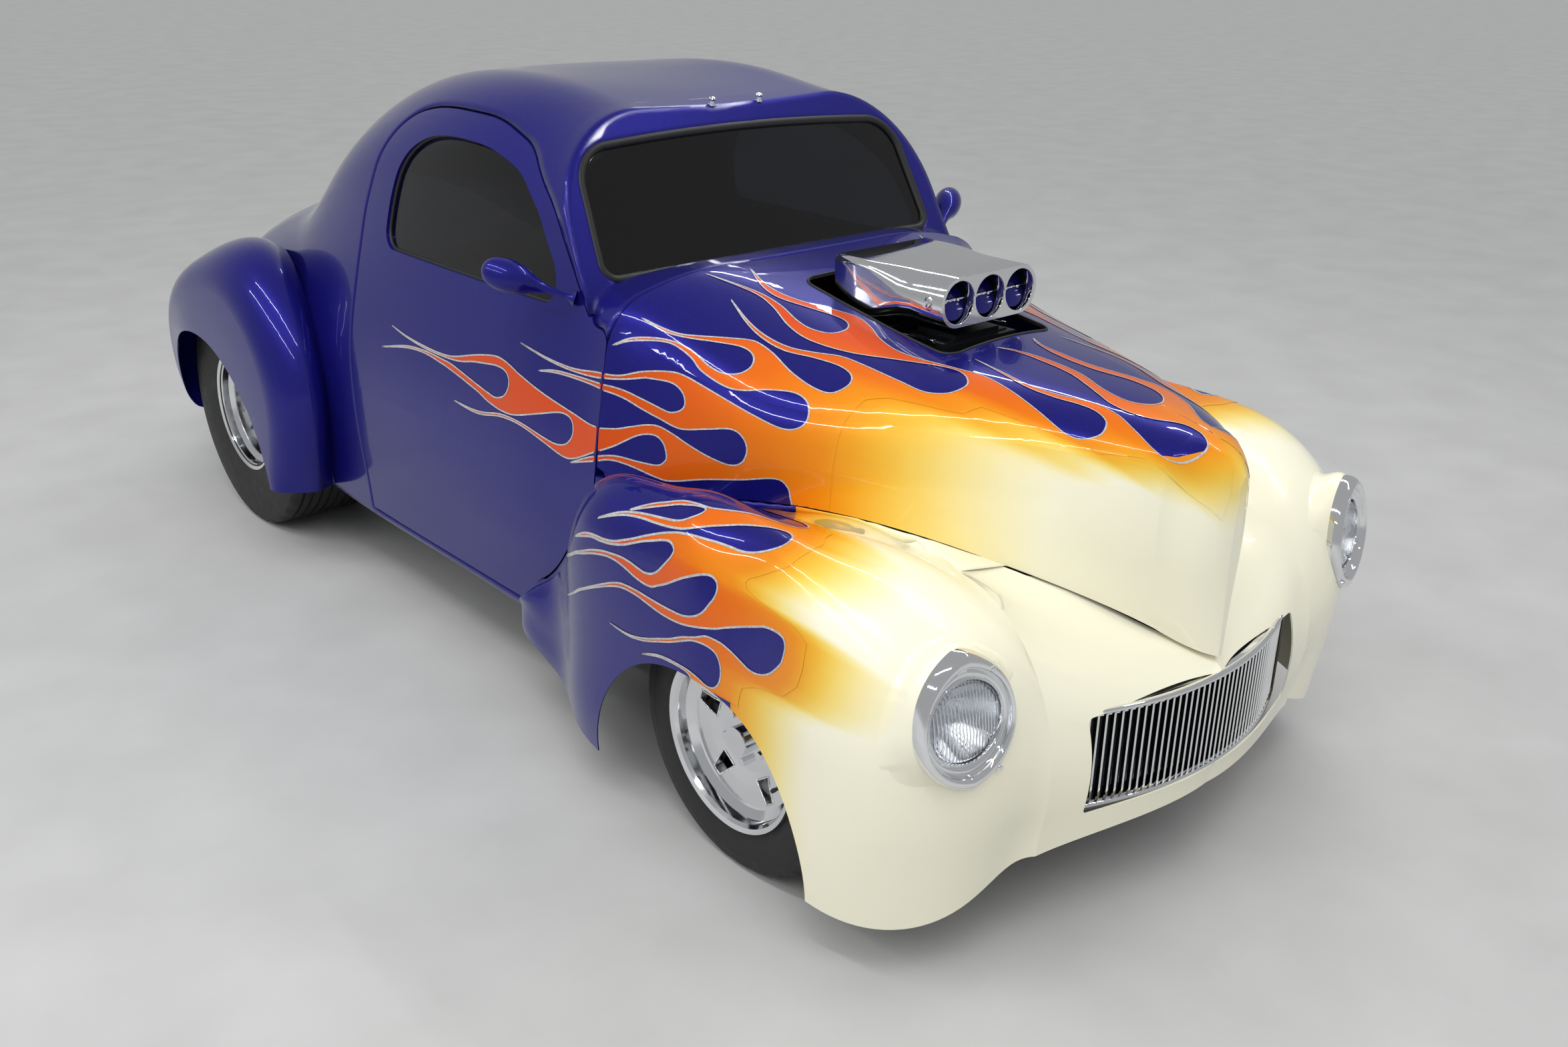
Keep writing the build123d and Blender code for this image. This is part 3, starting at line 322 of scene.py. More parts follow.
# airbrushed colours, by how far they lie behind the first blue, in metres
FADE = [
    (-0.46, (0.905, 0.885, 0.745)),
    (-0.34, (0.890, 0.800, 0.430)),
    (-0.23, (0.860, 0.640, 0.130)),
    (-0.13, (0.820, 0.450, 0.024)),
    (-0.02, (0.770, 0.235, 0.003)),
    (0.20, (0.700, 0.125, 0.002)),
    (0.60, (0.600, 0.048, 0.003)),
]
FADE_START, FADE_END = FADE[0][0], FADE[-1][0]
# the fade on the fenders runs this much quicker ahead of the blue
FENDER_QUICK = 1.75
# on the point of the hood the colour fades down the metal too: height, fall and (a, a)
NOSE_Z, NOSE_FALL, NOSE_REACH = 1.03, 2.2, (-0.44, -0.58)
CLOUD_DEPTH = 0.05
HEADS_FROM = -0.7
LICK_LIFT, STRIPE_LIFT = 0.0009, 0.0016
STRIPE_HALF = 1.9
CAST_FROM = 1.4


def maths(mat, operation, first, second=0.0, third=0.0):
    made = node(mat, "ShaderNodeMath", operation=operation)
    for socket, value in zip(made.inputs, (first, second, third)):
        if isinstance(value, (int, float)):
            socket.default_value = value
        else:
            link(mat, value, socket)
    return made.outputs[0]


def along(table, angle):
    # straight-line reading of a table of (angle, a)
    if angle <= table[0][0]:
        return table[0][1]
    for (low, first), (high, second) in zip(table, table[1:]):
        if angle <= high:
            return first + (second - first) * (angle - low) / (high - low)
    return table[-1][1]


def behind_heads(mat, heads, axis, nose):
    # how far the point lies behind the first blue at its angle round the panel's axis
    split = node(mat, "ShaderNodeSeparateXYZ")
    link(mat, position(mat), split.inputs[0])
    across, back, height = split.outputs
    out = maths(mat, "SUBTRACT", maths(mat, "ABSOLUTE", across), axis[0])
    out = maths(mat, "MAXIMUM", out, 0.004)
    turn = maths(mat, "ARCTAN2", maths(mat, "SUBTRACT", height, axis[1]), out)
    angle = maths(mat, "DEGREES", turn)
    curve = node(mat, "ShaderNodeFloatCurve")
    points = curve.mapping.curves[0].points
    while len(points) < len(heads):
        points.new(0.5, 0.5)
    for point, (degree, a) in zip(points, heads):
        point.location = (0.5 + degree / 180, a / 1000 - HEADS_FROM)
        point.handle_type = "VECTOR"
    curve.mapping.update()
    link(mat, maths(mat, "MULTIPLY_ADD", angle, 1 / 180, 0.5), curve.inputs["Value"])
    head = maths(mat, "MULTIPLY_ADD", curve.outputs[0], 1.0, at(HEADS_FROM))
    behind = maths(mat, "SUBTRACT", back, head)
    if nose:
        share = run(mat, back, at(NOSE_REACH[0]), at(NOSE_REACH[1]))
        below = maths(mat, "MAXIMUM", maths(mat, "SUBTRACT", NOSE_Z, height), 0.0)
        fall = maths(mat, "MULTIPLY", share, maths(mat, "MULTIPLY", below, NOSE_FALL))
        behind = maths(mat, "SUBTRACT", behind, fall)
    return behind


def flame_paint(name, heads, axis, bare, nose=False, quick=1.0):
    # the faded colour, and on bare metal the blue behind the first heads
    mat = finish(name, (0.85, 0.3, 0.01), 0.3, 0.08, 1.0, 0.02, 0.1)
    behind = behind_heads(mat, heads, axis, nose)
    cloud = maths(mat, "MULTIPLY_ADD", noise_of(mat, 7, 2), CLOUD_DEPTH, -CLOUD_DEPTH / 2)
    ahead = maths(mat, "MULTIPLY", maths(mat, "MINIMUM", behind, 0.0), quick - 1.0)
    soft = maths(mat, "ADD", maths(mat, "ADD", behind, ahead), cloud)
    ramp = node(mat, "ShaderNodeValToRGB")
    ramp.color_ramp.interpolation = "B_SPLINE"
    stops = ramp.color_ramp.elements
    span = FADE_END - FADE_START
    while len(stops) < len(FADE):
        stops.new(0.5)
    for stop, (place, colour) in zip(stops, FADE):
        stop.position = (place - FADE_START) / span
        stop.color = (*colour, 1)
    link(mat, maths(mat, "MULTIPLY_ADD", soft, 1 / span, -FADE_START / span), ramp.inputs[0])
    colour = ramp.outputs[0]
    if bare:
        blue = maths(mat, "GREATER_THAN", behind, -0.02)
        colour = blend_colours(mat, blue, colour, pearl(mat))
        feed(mat, "Metallic", run(mat, blue, 0, 1, 0.08, 0.5))
    feed(mat, "Base Color", colour)
    return mat


hood = (HOOD_HEADS, HOOD_AXIS)
fender = (FENDER_HEADS, FENDER_AXIS)
hood_paint = flame_paint("hood_flame_paint", *hood, True, True)
fender_paint = flame_paint("fender_flame_paint", *fender, True, quick=FENDER_QUICK)
hood_lick_paint = flame_paint("hood_lick_paint", *hood, False, True)
fender_lick_paint = flame_paint("fender_lick_paint", *fender, False, quick=FENDER_QUICK)
dress(hood_paint, "hood")
dress(fender_paint, "front_fender_left", "front_fender_right", "nose_panel")

stripe_paint = finish("pinstripe_enamel", (0.46, 0.44, 0.44), 0.35, 0.0, 1.0, 0.03)
brush = noise_of(stripe_paint, 160, 2)
mottle(stripe_paint, brush, 0.35, 0.7, (0.36, 0.34, 0.35), (0.55, 0.53, 0.53))
SIDES = ((-1, "right"), (1, "left"))


def place_piece(name, data, body):
    # an object for a mesh or a curve, which rides on a body
    piece = bpy.data.objects.new(name, data)
    bpy.context.scene.collection.objects.link(piece)
    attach(piece, body)
    return piece


def add_piece(name, verts, faces, mat, body, slot, normals=None, smooth=True):
    mesh = bpy.data.meshes.new(name)
    mesh.from_pydata([tuple(v) for v in verts], [], faces)
    mesh.polygons.foreach_set("use_smooth", [smooth] * len(mesh.polygons))
    mesh.materials.append(mat)
    if normals is not None:
        mesh.normals_split_custom_set_from_vertices([tuple(n) for n in normals])
    mesh.update()
    return place_piece(name, mesh, body)


def skin_of(name):
    # a panel's faces to cast rays at, with the panel's own shading normals
    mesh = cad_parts[name].data
    verts = [v.co.copy() for v in mesh.vertices]
    polys = [tuple(p.vertices) for p in mesh.polygons]
    tree = BVHTree.FromPolygons(verts, polys)
    return tree, verts, polys, mesh.corner_normals, [p.loop_start for p in mesh.polygons]


def cast_in(tree, a, turn, axis):
    # what a ray towards the axis on the right side hits first, a mm behind the axle
    start = (-axis[0] - CAST_FROM * cos(turn), at(a / 1000), axis[1] + CAST_FROM * sin(turn))
    return tree.ray_cast(Vector(start), Vector((cos(turn), 0, -sin(turn))))


def drop(skin, a, angle, axis, lift, side):
    # the point of the right-hand panel at (a, angle), lifted off it, and its normal; where
    # the ray misses, the next one a little higher is taken
    tree, verts, polys, corner, loops = skin
    for nudge in range(12):
        spot, flat, face, _ = cast_in(tree, a, radians(angle + 0.3 * nudge), axis)
        if spot is None or spot.x > 0.05:
            continue
        p, q, r = (verts[i] for i in polys[face][:3])
        whole = (q - p).cross(r - p).length or 1.0
        share = (
            (r - q).cross(spot - q).length,
            (p - r).cross(spot - r).length,
            (q - p).cross(spot - p).length,
        )
        normal = Vector()
        for k in range(3):
            normal += corner[loops[face] + k].vector * (share[k] / whole)
        if normal.length < 0.1:
            normal = flat.copy()
        normal.normalize()
        spot = spot + normal * lift
        if side > 0:
            spot.x, normal.x = -spot.x, -normal.x
        return spot, normal
    return None


def smooth_line(points, scale, step):
    # a curve through the table's points, in (a, angle x scale), with its sharp tips kept
    line = [(p[0], p[1] * scale, len(p) > 2) for p in points]

    def past(p, q):
        # the point as far beyond p as q is before it
        return 2 * p[0] - q[0], 2 * p[1] - q[1]

    out = []
    for i in range(len(line) - 1):
        p1, p2 = line[i], line[i + 1]
        p0 = line[i - 1] if i > 0 and not p1[2] else past(p1, p2)
        p3 = line[i + 2] if i + 2 < len(line) and not p2[2] else past(p2, p1)
        count = max(1, ceil(hypot(p2[0] - p1[0], p2[1] - p1[1]) / step))
        for k in range(count):
            t = k / count
            out.append(tuple(
                0.5 * (
                    2 * p1[c] + (p2[c] - p0[c]) * t
                    + (2 * p0[c] - 5 * p1[c] + 4 * p2[c] - p3[c]) * t * t
                    + (3 * p1[c] - p0[c] - 3 * p2[c] + p3[c]) * t ** 3
                )
                for c in (0, 1)
            ))
    out.append(line[-1][:2])
    return out


def facing(verts, normals, ids):
    # the face's corners in the order that turns it outwards
    first, second, last = verts[ids[0]], verts[ids[1]], verts[ids[-1]]
    outwards = (second - first).cross(last - first).dot(normals[ids[0]]) > 0
    return ids if outwards else ids[::-1]


def flat_licks(edge, table, heads, scale, cuts, grid=11):
    # the coloured side of the edge as triangles in the plane of (a, angle x scale), back from
    # 45 mm ahead of the first blue, with a line wherever two panels meet
    first, last = table[0][1], table[-1][1]
    turns = [last + (first - last) * k / 60 for k in range(61)]
    ring = edge + [(along(heads, t) - 45, t * scale) for t in turns]
    low = [min(p[c] for p in ring) for c in (0, 1)]
    high = [max(p[c] for p in ring) for c in (0, 1)]
    points = [Vector(p) for p in ring]
    count = len(points)
    sides = [(i, (i + 1) % count) for i in range(count)]
    for cut in cuts:
        if low[0] < cut < high[0]:
            points += [Vector((cut, low[1] - 5)), Vector((cut, high[1] + 5))]
            sides.append((len(points) - 2, len(points) - 1))
    a = low[0]
    row = 0
    while a < high[0]:
        t = low[1] + (grid / 2 if row % 2 else 0)
        while t < high[1]:
            points.append(Vector((a, t)))
            t += grid
        a += grid * 0.87
        row += 1
    turning = sum(p[0] * q[1] - q[0] * p[1] for p, q in zip(ring, ring[1:] + ring[:1]))
    whole = list(range(count)) if turning > 0 else list(range(count))[::-1]
    flat, _, cells, _, _, inside = delaunay_2d_cdt(points, sides, [whole], 1, 0.01)
    return flat, [tri for tri, region in zip(cells, inside) if region]


def lay_flames(label, table, heads, scale, axis, mat, panels, step=6):
    # licks of colour and their stripe, on panels of (node, body, from a, to a)
    edge = smooth_line(table, scale, step)
    cuts = [cut for panel in panels for cut in panel[2:]]
    flat, tris = flat_licks(edge, table, heads, scale, cuts)
    for name, body, start, end in panels:
        skin = skin_of(name)
        for side, word in SIDES:
            rides = body.replace("SIDE", word)
            verts, normals, index, faces = [], [], {}, []
            for tri in tris:
                middle = sum(flat[i][0] for i in tri) / len(tri)
                if not start < middle < end:
                    continue
                ids = []
                for i in tri:
                    if i not in index:
                        a = min(max(flat[i][0], start), end)
                        here = drop(skin, a, flat[i][1] / scale, axis, LICK_LIFT, side)
                        if here is None:
                            break
                        index[i] = len(verts)
                        verts.append(here[0])
                        normals.append(here[1])
                    ids.append(index[i])
                if len(ids) == len(tri):
                    faces.append(facing(verts, normals, ids))
            licks = f"{label}_licks_{name}_{word}"
            add_piece(licks, verts, faces, mat, rides, "flame_paint", normals)
            verts, normals, faces = [], [], []
            before = None
            for i, (a, t) in enumerate(edge):
                if not start <= a <= end:
                    before = None
                    continue
                p, q = edge[max(i - 1, 0)], edge[min(i + 1, len(edge) - 1)]
                away = hypot(q[0] - p[0], q[1] - p[1]) or 1.0
                across = (-(q[1] - p[1]) / away, (q[0] - p[0]) / away)
                pair = []
                for w in (-STRIPE_HALF, STRIPE_HALF):
                    angle = (t + across[1] * w) / scale
                    pair.append(drop(skin, a + across[0] * w, angle, axis, STRIPE_LIFT, side))
                if None in pair:
                    before = None
                    continue
                verts += [pair[0][0], pair[1][0]]
                normals += [pair[0][1], pair[1][1]]
                now = len(verts) - 2
                if before is not None:
                    faces.append(facing(verts, normals, [before, before + 1, now + 1, now]))
                before = now
            stripe = f"{label}_stripe_{name}_{word}"
            add_piece(stripe, verts, faces, stripe_paint, rides, "flame_paint", normals)


lay_flames(
    "hood", HOOD_FLAMES, HOOD_HEADS, HOOD_SCALE, HOOD_AXIS, hood_lick_paint,
    [("hood", "hood", -900, HOOD_END), ("door_right", "door_SIDE", DOOR_START, 1700)],
)
lay_flames(
    "fender", FENDER_FLAMES, FENDER_HEADS, FENDER_SCALE, FENDER_AXIS, fender_lick_paint,
    [("front_fender_right", "chassis", -900, 925)],
)

# Fender flanges. Where a fender's crown meets the hood, its sheet turns up in a flange that
# stops 5 mm short of the hood's lower edge, painted with the fender.

# stations in mm behind the axle, the rest in metres
FLANGE_START, FLANGE_STEP, FLANGE_ROWS = -560, 19, 61
HOOD_CLEARANCE, FLANGE_SHEET = 0.005, 0.0015
NARROWEST, WIDEST = 0.0052, 0.14


def loft(name, rings, mat, body, slot, closed=True, flip=False, caps=(False, False)):
    # faces between equal rings of points
    verts = [p for ring in rings for p in ring]
    many = len(rings[0])
    faces = []
    for i in range(len(rings) - 1):
        for k in range(many if closed else many - 1):
            j = (k + 1) % many
            quad = (i * many + k, i * many + j, (i + 1) * many + j, (i + 1) * many + k)
            faces.append(quad[::-1] if flip else quad)
    last = (len(rings) - 1) * many
    for wanted, first, backwards in ((caps[0], 0, not flip), (caps[1], last, flip)):
        if wanted:
            ids = list(range(first, first + many))
            faces.append(ids[::-1] if backwards else ids)
    return add_piece(name, verts, faces, mat, body, slot)


def crease(piece, angle, bevel=0.0, segments=2):
    # sharp edges kept over an angle, after an optional rounding of the edges
    if bevel:
        round_off = piece.modifiers.new("rounding", "BEVEL")
        round_off.width = bevel
        round_off.segments = segments
        round_off.limit_method = "ANGLE"
        round_off.angle_limit = radians(35)
    split = piece.modifiers.new("edges", "EDGE_SPLIT")
    split.split_angle = radians(angle)
    return piece


def thicken(piece, thickness, offset=None):
    sheet = piece.modifiers.new("sheet", "SOLIDIFY")
    sheet.thickness = thickness
    if offset is not None:
        sheet.offset = offset


def hood_edge(a):
    # the lowest point of the hood's right side at a station
    for step in range(160):
        spot = cast_in(hood_tree, a, radians(-40 + 0.5 * step), HOOD_AXIS)[0]
        if spot is not None and spot.x < 0:
            return spot
    return None


hood_tree = skin_of("hood")[0]
fender_tree = skin_of("front_fender_right")[0]
rows = []
for k in range(FLANGE_ROWS):
    edge = hood_edge(FLANGE_START + FLANGE_STEP * k)
    if edge is None:
        continue
    foot = fender_tree.find_nearest(edge + Vector((0.004, 0, -0.004)))[0]
    gap = edge - foot
    if not NARROWEST <= gap.length <= WIDEST:
        rows.append(None)
        continue
    top = edge - gap.normalized() * HOOD_CLEARANCE
    rows.append([
        foot - gap.normalized() * 0.004, foot + (top - foot) * 0.4, top,
        top + Vector((0.010, 0, -0.004)),
    ])
stretch = []
number = 0
for row in rows + [None]:
    if row is not None:
        stretch.append(row)
        continue
    if len(stretch) > 3:
        number += 1
        for side, word in SIDES:
            lines = [[Vector((p.x * -side, p.y, p.z)) for p in line] for line in stretch]
            name = f"fender_flange_{word}_{number}"
            flange = loft(name, lines, fender_paint, "chassis", "flame_paint", closed=False)
            thicken(flange, FLANGE_SHEET)
    stretch = []

# Headlamps. An egg-shaped die-cast surround, chromed, is screwed to a pod that swells out
# of each fender; inside it sit a bright reflector, a bulb and a thin ribbed glass lens.

chrome = finish("bright_chrome", (0.86, 0.87, 0.89), 0.04, 1.0)
vary_gloss(chrome, noise_of(chrome, 25, 4), 0.35, 0.75, 0.03, 0.08)
dress(chrome, "headlight_bezels", "headlight_lenses")
CHROMED = (chrome, "chassis", "chrome_trim")


def clear_glass(name, colour, ior):
    mat = finish(name, colour, 0.02)
    shader_of(mat).inputs["Transmission Weight"].default_value = 1.0
    shader_of(mat).inputs["IOR"].default_value = ior
    return mat


lens_glass = clear_glass("ribbed_lens_glass", (0.93, 0.95, 0.98), 1.4)
vary_gloss(lens_glass, noise_of(lens_glass, 5, 2), 0.3, 0.7, 0.01, 0.05)

# the lamp's own axes on the right side: across, up and out, from its centre
LAMP_AT = Vector((-0.694, at(-0.590), 0.612))
LAMP_OUT = Vector((-0.2, -0.97, 0.12)).normalized()
LAMP_ACROSS = Vector((-0.977, 0.2, -0.06))
LAMP_ACROSS = (LAMP_ACROSS - LAMP_OUT * LAMP_ACROSS.dot(LAMP_OUT)).normalized()
LAMP_UP = LAMP_OUT.cross(LAMP_ACROSS)
# the surround's outline, as arcs through three points
EGG = [
    ((-0.108, -0.024), (-0.076, 0.092), (0.0, 0.136)),
    ((0.0, 0.136), (0.078, 0.094), (0.112, -0.020)),
    ((0.112, -0.020), (0.070, -0.112), (0.012, -0.150)),
    ((-0.002, -0.150), (-0.076, -0.100), (-0.108, -0.024)),
]
EGG_MIDDLE = -0.007
# how the surround rises from its outline to the lens: (share of the way in, height)
RIM = [
    (0.0, -0.020), (0.0, 0.002), (0.03, 0.012), (0.10, 0.021), (0.22, 0.027), (0.36, 0.0285),
    (0.46, 0.026), (0.52, 0.020), (0.55, 0.014), (0.60, 0.012), (0.70, 0.0145), (0.80, 0.0135),
    (0.87, 0.009), (0.90, 0.009), (0.925, 0.012), (0.96, 0.0125), (0.99, 0.009), (1.0, 0.001),
    (1.0, -0.012),
]
# turned pieces, as (radius, height): the bowl is a parabola
BOWL = [(0.0835, 0.002)] + [
    (0.083 * s, -0.066 + 0.066 * s * s) for s in (0.98, 0.85, 0.7, 0.5, 0.3, 0.12)
]
BULB = (
    (0.012, -0.066), (0.012, -0.045), (0.009, -0.040), (0.009, -0.026), (0.006, -0.020),
    (0.001, -0.018),
)
SCREW_HEAD = (
    (0.0062, 0.018), (0.0062, 0.027), (0.0052, 0.0292), (0.003, 0.0300), (0.001, 0.0302),
)
SCREWS = (("upper", (-0.058, 0.104)), ("lower", (-0.055, -0.102)))
LENS_AT, LENS_RADIUS = (0.002, -0.004), 0.083
LENS_CELLS, LENS_ROWS, CELLS_A_RIB = 132, 24, 6
DOME, RIB, BEND, LENS_WALL = 0.010, 0.0024, 0.0012, 0.003
# the pod reaches this far out of the surround, and from shallow below to deep above
POD_STEPS, POD_SPREAD = 10, 0.062
POD_SHALLOW, POD_DEEP = 0.010, 0.075


def arc(p, q, r, count):
    # points on the circle through three points, from p to r
    ax, ay, bx, by, cx, cy = *p, *q, *r
    d = 2 * (ax * (by - cy) + bx * (cy - ay) + cx * (ay - by))
    a2, b2, c2 = ax * ax + ay * ay, bx * bx + by * by, cx * cx + cy * cy
    ux = (a2 * (by - cy) + b2 * (cy - ay) + c2 * (ay - by)) / d
    uy = (a2 * (cx - bx) + b2 * (ax - cx) + c2 * (bx - ax)) / d
    start, middle, end = (atan2(y - uy, x - ux) for x, y in (p, q, r))
    turn = (end - start) % (2 * pi)
    if (middle - start) % (2 * pi) > turn:
        turn -= 2 * pi
    radius = hypot(ax - ux, ay - uy)
    turns = [start + turn * k / count for k in range(count)]
    return [(ux + radius * cos(t), uy + radius * sin(t)) for t in turns]


def lamp_point(u, v, out, side):
    spot = LAMP_AT + LAMP_ACROSS * u + LAMP_UP * v + LAMP_OUT * out
    if side > 0:
        spot.x = -spot.x
    return spot


def turned_in_lamp(name, centre, profile, count, mat, slot, side, foot=False):
    # a turned piece that lies square to the lamp
    turns = [2 * pi * k / count for k in range(count)]
    rings = [
        [lamp_point(centre[0] + r * cos(t), centre[1] + r * sin(t), out, side) for t in turns]
        for r, out in profile
    ]
    return loft(name, rings, mat, "chassis", slot, flip=side < 0, caps=(foot, True))


def pod_line(k, side):
    # a curve of the pod, from behind the surround out to the fender: it leaves square to the
    # outline and lands flush with the fender's skin
    u, v = egg[k]
    before, after = egg[k - 1], egg[(k + 1) % len(egg)]
    radial = Vector((u, v - EGG_MIDDLE))
    square = Vector((after[1] - before[1], before[0] - after[0])).normalized()
    if square.dot(radial) < 0:
        square = -square
    away = radial.normalized() * 0.6 + square * 0.4
    outward = LAMP_ACROSS * away.x + LAMP_UP * away.y
    start = LAMP_AT + LAMP_ACROSS * u * 0.995 + LAMP_UP * v * 0.995 - LAMP_OUT * 0.004
    share = min(max((v + 0.10) / 0.16, 0.0), 1.0)
    deep = POD_SHALLOW + (POD_DEEP - POD_SHALLOW) * share
    reach = start + outward * POD_SPREAD - LAMP_OUT * deep
    end, face_normal, _, _ = fender_tree.find_nearest(reach)
    if face_normal.dot(reach - end) < 0:
        face_normal = -face_normal
    chord = end - start
    landing = (chord - face_normal * chord.dot(face_normal)).normalized()
    leaving = (outward * 0.75 - LAMP_OUT * 0.66).normalized()
    pull = chord.length * 0.38
    end = end - face_normal * 0.0006
    line = []
    for step in range(POD_STEPS):
        t = step / (POD_STEPS - 1)
        spot = (
            start * (1 - t) ** 3 + (start + leaving * pull) * 3 * t * (1 - t) ** 2
            + (end - landing * pull) * 3 * t * t * (1 - t) + end * t ** 3
        )
        if side > 0:
            spot.x = -spot.x
        line.append(spot)
    return line


def lens_point(i, j, side):
    # a point of the domed glass, with upright ribs and a few cross bends in its middle
    u = -LENS_RADIUS + 2 * LENS_RADIUS * i / LENS_CELLS
    tall = sqrt(max(LENS_RADIUS ** 2 - u * u, 0.0))
    v = -tall + 2 * tall * j / LENS_ROWS
    out = 0.002 + DOME * (1 - (u * u + v * v) / LENS_RADIUS ** 2)
    if u * u + v * v < (LENS_RADIUS - 0.004) ** 2:
        out += RIB * (0.5 - 0.5 * cos(2 * pi * i / CELLS_A_RIB))
        if abs(u) < 0.035 and -0.02 < v < 0.045:
            out += BEND * sin(j * 1.3)
    return lamp_point(LENS_AT[0] + u, LENS_AT[1] + v, out, side)


egg = [p for piece in EGG for p in arc(*piece, 30)]
inner = [Vector(p).normalized() * LENS_RADIUS + Vector(LENS_AT) for p in egg]
for side, word in SIDES:
    rings = [
        [
            lamp_point(u + (i.x - u) * share, v + (i.y - v) * share, rise, side)
            for (u, v), i in zip(egg, inner)
        ]
        for share, rise in RIM
    ]
    surround = loft(f"lamp_surround_{word}", rings, *CHROMED, flip=side < 0)
    crease(surround, 55)
    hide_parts("headlight_bezels")
    rings = list(zip(*(pod_line(k, side) for k in range(len(egg)))))
    loft(f"lamp_pod_{word}", rings, fender_paint, "chassis", "flame_paint", flip=side > 0)
    reflector = turned_in_lamp(
        f"lamp_reflector_{word}", LENS_AT, BOWL, 72, chrome, "chrome_trim", side,
    )
    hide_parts("headlight_lenses")
    turned_in_lamp(f"lamp_bulb_{word}", LENS_AT, BULB, 18, lens_glass, "clear_glass", side, True)
    columns = range(LENS_CELLS + 1)
    verts = [lens_point(i, j, side) for i in columns for j in range(LENS_ROWS + 1)]
    faces = []
    for i in range(LENS_CELLS):
        for j in range(LENS_ROWS):
            here, beside = (column * (LENS_ROWS + 1) + j for column in (i, i + 1))
            quad = (here, beside, beside + 1, here + 1)
            faces.append(quad if side > 0 else quad[::-1])
    lens = add_piece(f"lamp_lens_{word}", verts, faces, lens_glass, "chassis", "clear_glass")
    thicken(lens, LENS_WALL, -1)
    for place, centre in SCREWS:
        name = f"lamp_screw_{word}_{place}"
        turned_in_lamp(name, centre, SCREW_HEAD, 24, chrome, "chrome_trim", side)

# Grille. Upright bars of polished alloy strip, bowed to the nose and let into a chromed
# surround; each bar's edges are rounded over by hand.

GRILLE_HALF_WIDTH, GRILLE_HALF_HEIGHT, GRILLE_CORNER = 0.381, 0.1105, 0.016
GRILLE_Z = 0.4145
BEAD_ACROSS, BEAD_DEEP, BEAD_SIDES = 0.0065, 0.009, 12
# the black sheet behind the grille, painted shade: its half width and its depth behind the face
SHADE_SHEET_HALF, SHADE_SHEET_DEEP = 0.386, 0.034

dress(chrome, "grille")
crease(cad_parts["grille"], 40, 0.0026, 3)


def bow(x):
    # where the grille's face stands at x, in metres behind the axle
    return -0.7145 + 0.0865 * (x / 0.378) ** 2


def rounded_oblong(half_width, half_height, corner, centre, count):
    # (x, z) round an oblong with round corners, count points to a corner
    out = []
    for sx, sz, start in ((1, 1, 0), (-1, 1, 90), (-1, -1, 180), (1, -1, 270)):
        for k in range(count):
            turn = radians(start + 90 * k / (count - 1))
            out.append((
                sx * (half_width - corner) + corner * cos(turn),
                centre + sz * (half_height - corner) + corner * sin(turn),
            ))
    return out


border = rounded_oblong(GRILLE_HALF_WIDTH, GRILLE_HALF_HEIGHT, GRILLE_CORNER, GRILLE_Z, 7)
path = []
for p, q in zip(border, border[1:] + border[:1]):
    pieces = max(1, round(hypot(q[0] - p[0], q[1] - p[1]) / 0.02))
    for k in range(pieces):
        path.append([p[c] + (q[c] - p[c]) * k / pieces for c in (0, 1)])
rings = []
for k in range(BEAD_SIDES + 1):
    turn = 2 * pi * (k % BEAD_SIDES) / BEAD_SIDES
    out, forward = BEAD_ACROSS * cos(turn), BEAD_DEEP * sin(turn)
    wider, taller = 1 + out / 0.38, 1 + out / 0.11
    rings.append([
        Vector((x * wider, at(bow(x) - forward), GRILLE_Z + (z - GRILLE_Z) * taller))
        for x, z in path
    ])
loft("grille_surround", rings, *CHROMED)
# a satin black sheet behind the bars: painted shade for the dark inside of the nose
stations = [-SHADE_SHEET_HALF + 2 * SHADE_SHEET_HALF * k / 24 for k in range(25)]
shade_sheet = [[Vector((x, at(bow(x) + SHADE_SHEET_DEEP), z)) for x in stations] for z in (0.300, 0.529)]
loft("grille_shade_sheet", shade_sheet, chassis_coat, "chassis", "frame_black", closed=False)

# Blower, carburettors and scoop. The case is cast alloy, anodised black; two carburettors
# stand on it under a hollow polished scoop, whose three mouths each hold a round butterfly,
# screwed to one cross shaft. The polished butterflies are given the body's blue paint, a
# painted reflection of the blue hood, and the mouths' black throats are painted shade.

polished_alloy = finish("polished_alloy", (0.80, 0.81, 0.83), 0.1, 1.0)
vary_gloss(polished_alloy, noise_of(polished_alloy, 60, 8), 0.3, 0.75, 0.05, 0.14)
dress(polished_alloy, "scoop", "scoop_butterflies")
ALLOY = (polished_alloy, "chassis", "polished_alloy")

carb_black = finish("anodised_black", (0.02, 0.022, 0.026), 0.35, 0.7)
flecks = noise_of(carb_black, 300, 3)
bumps(carb_black, flecks, 0.3, 0.0005)
vary_gloss(carb_black, flecks, 0.3, 0.7, 0.28, 0.45)
dress(carb_black, "blower")

MOUTHS = (-0.1035, 0.0, 0.1035)
MOUTH_Z, MOUTH_RADIUS, MOUTH_SIDES = 1.201, 0.0485, 64
MOUTH_ROLL = 0.002
FACE_A = -0.0005
# the outer case, thick round its front edge, then taller and squarer towards the windshield:
# (half width, half height, corner, how far below the mouths' middle, a)
CASE = [
    (0.163, 0.0570, 0.056, 0.0, FACE_A),
    (0.165, 0.0590, 0.058, 0.0, 0.002),
    (0.165, 0.0590, 0.058, 0.0, 0.10),
    (0.165, 0.0595, 0.055, 0.0005, 0.14),
    (0.164, 0.0610, 0.044, 0.0020, 0.17),
    (0.163, 0.0635, 0.032, 0.0045, 0.20),
    (0.162, 0.0655, 0.022, 0.0065, 0.23),
    (0.161, 0.0665, 0.017, 0.0075, 0.27),
    (0.160, 0.0665, 0.016, 0.0075, 0.345),
    (0.157, 0.0635, 0.014, 0.0075, 0.3505),
    (0.150, 0.0565, 0.010, 0.0075, 0.352),
]
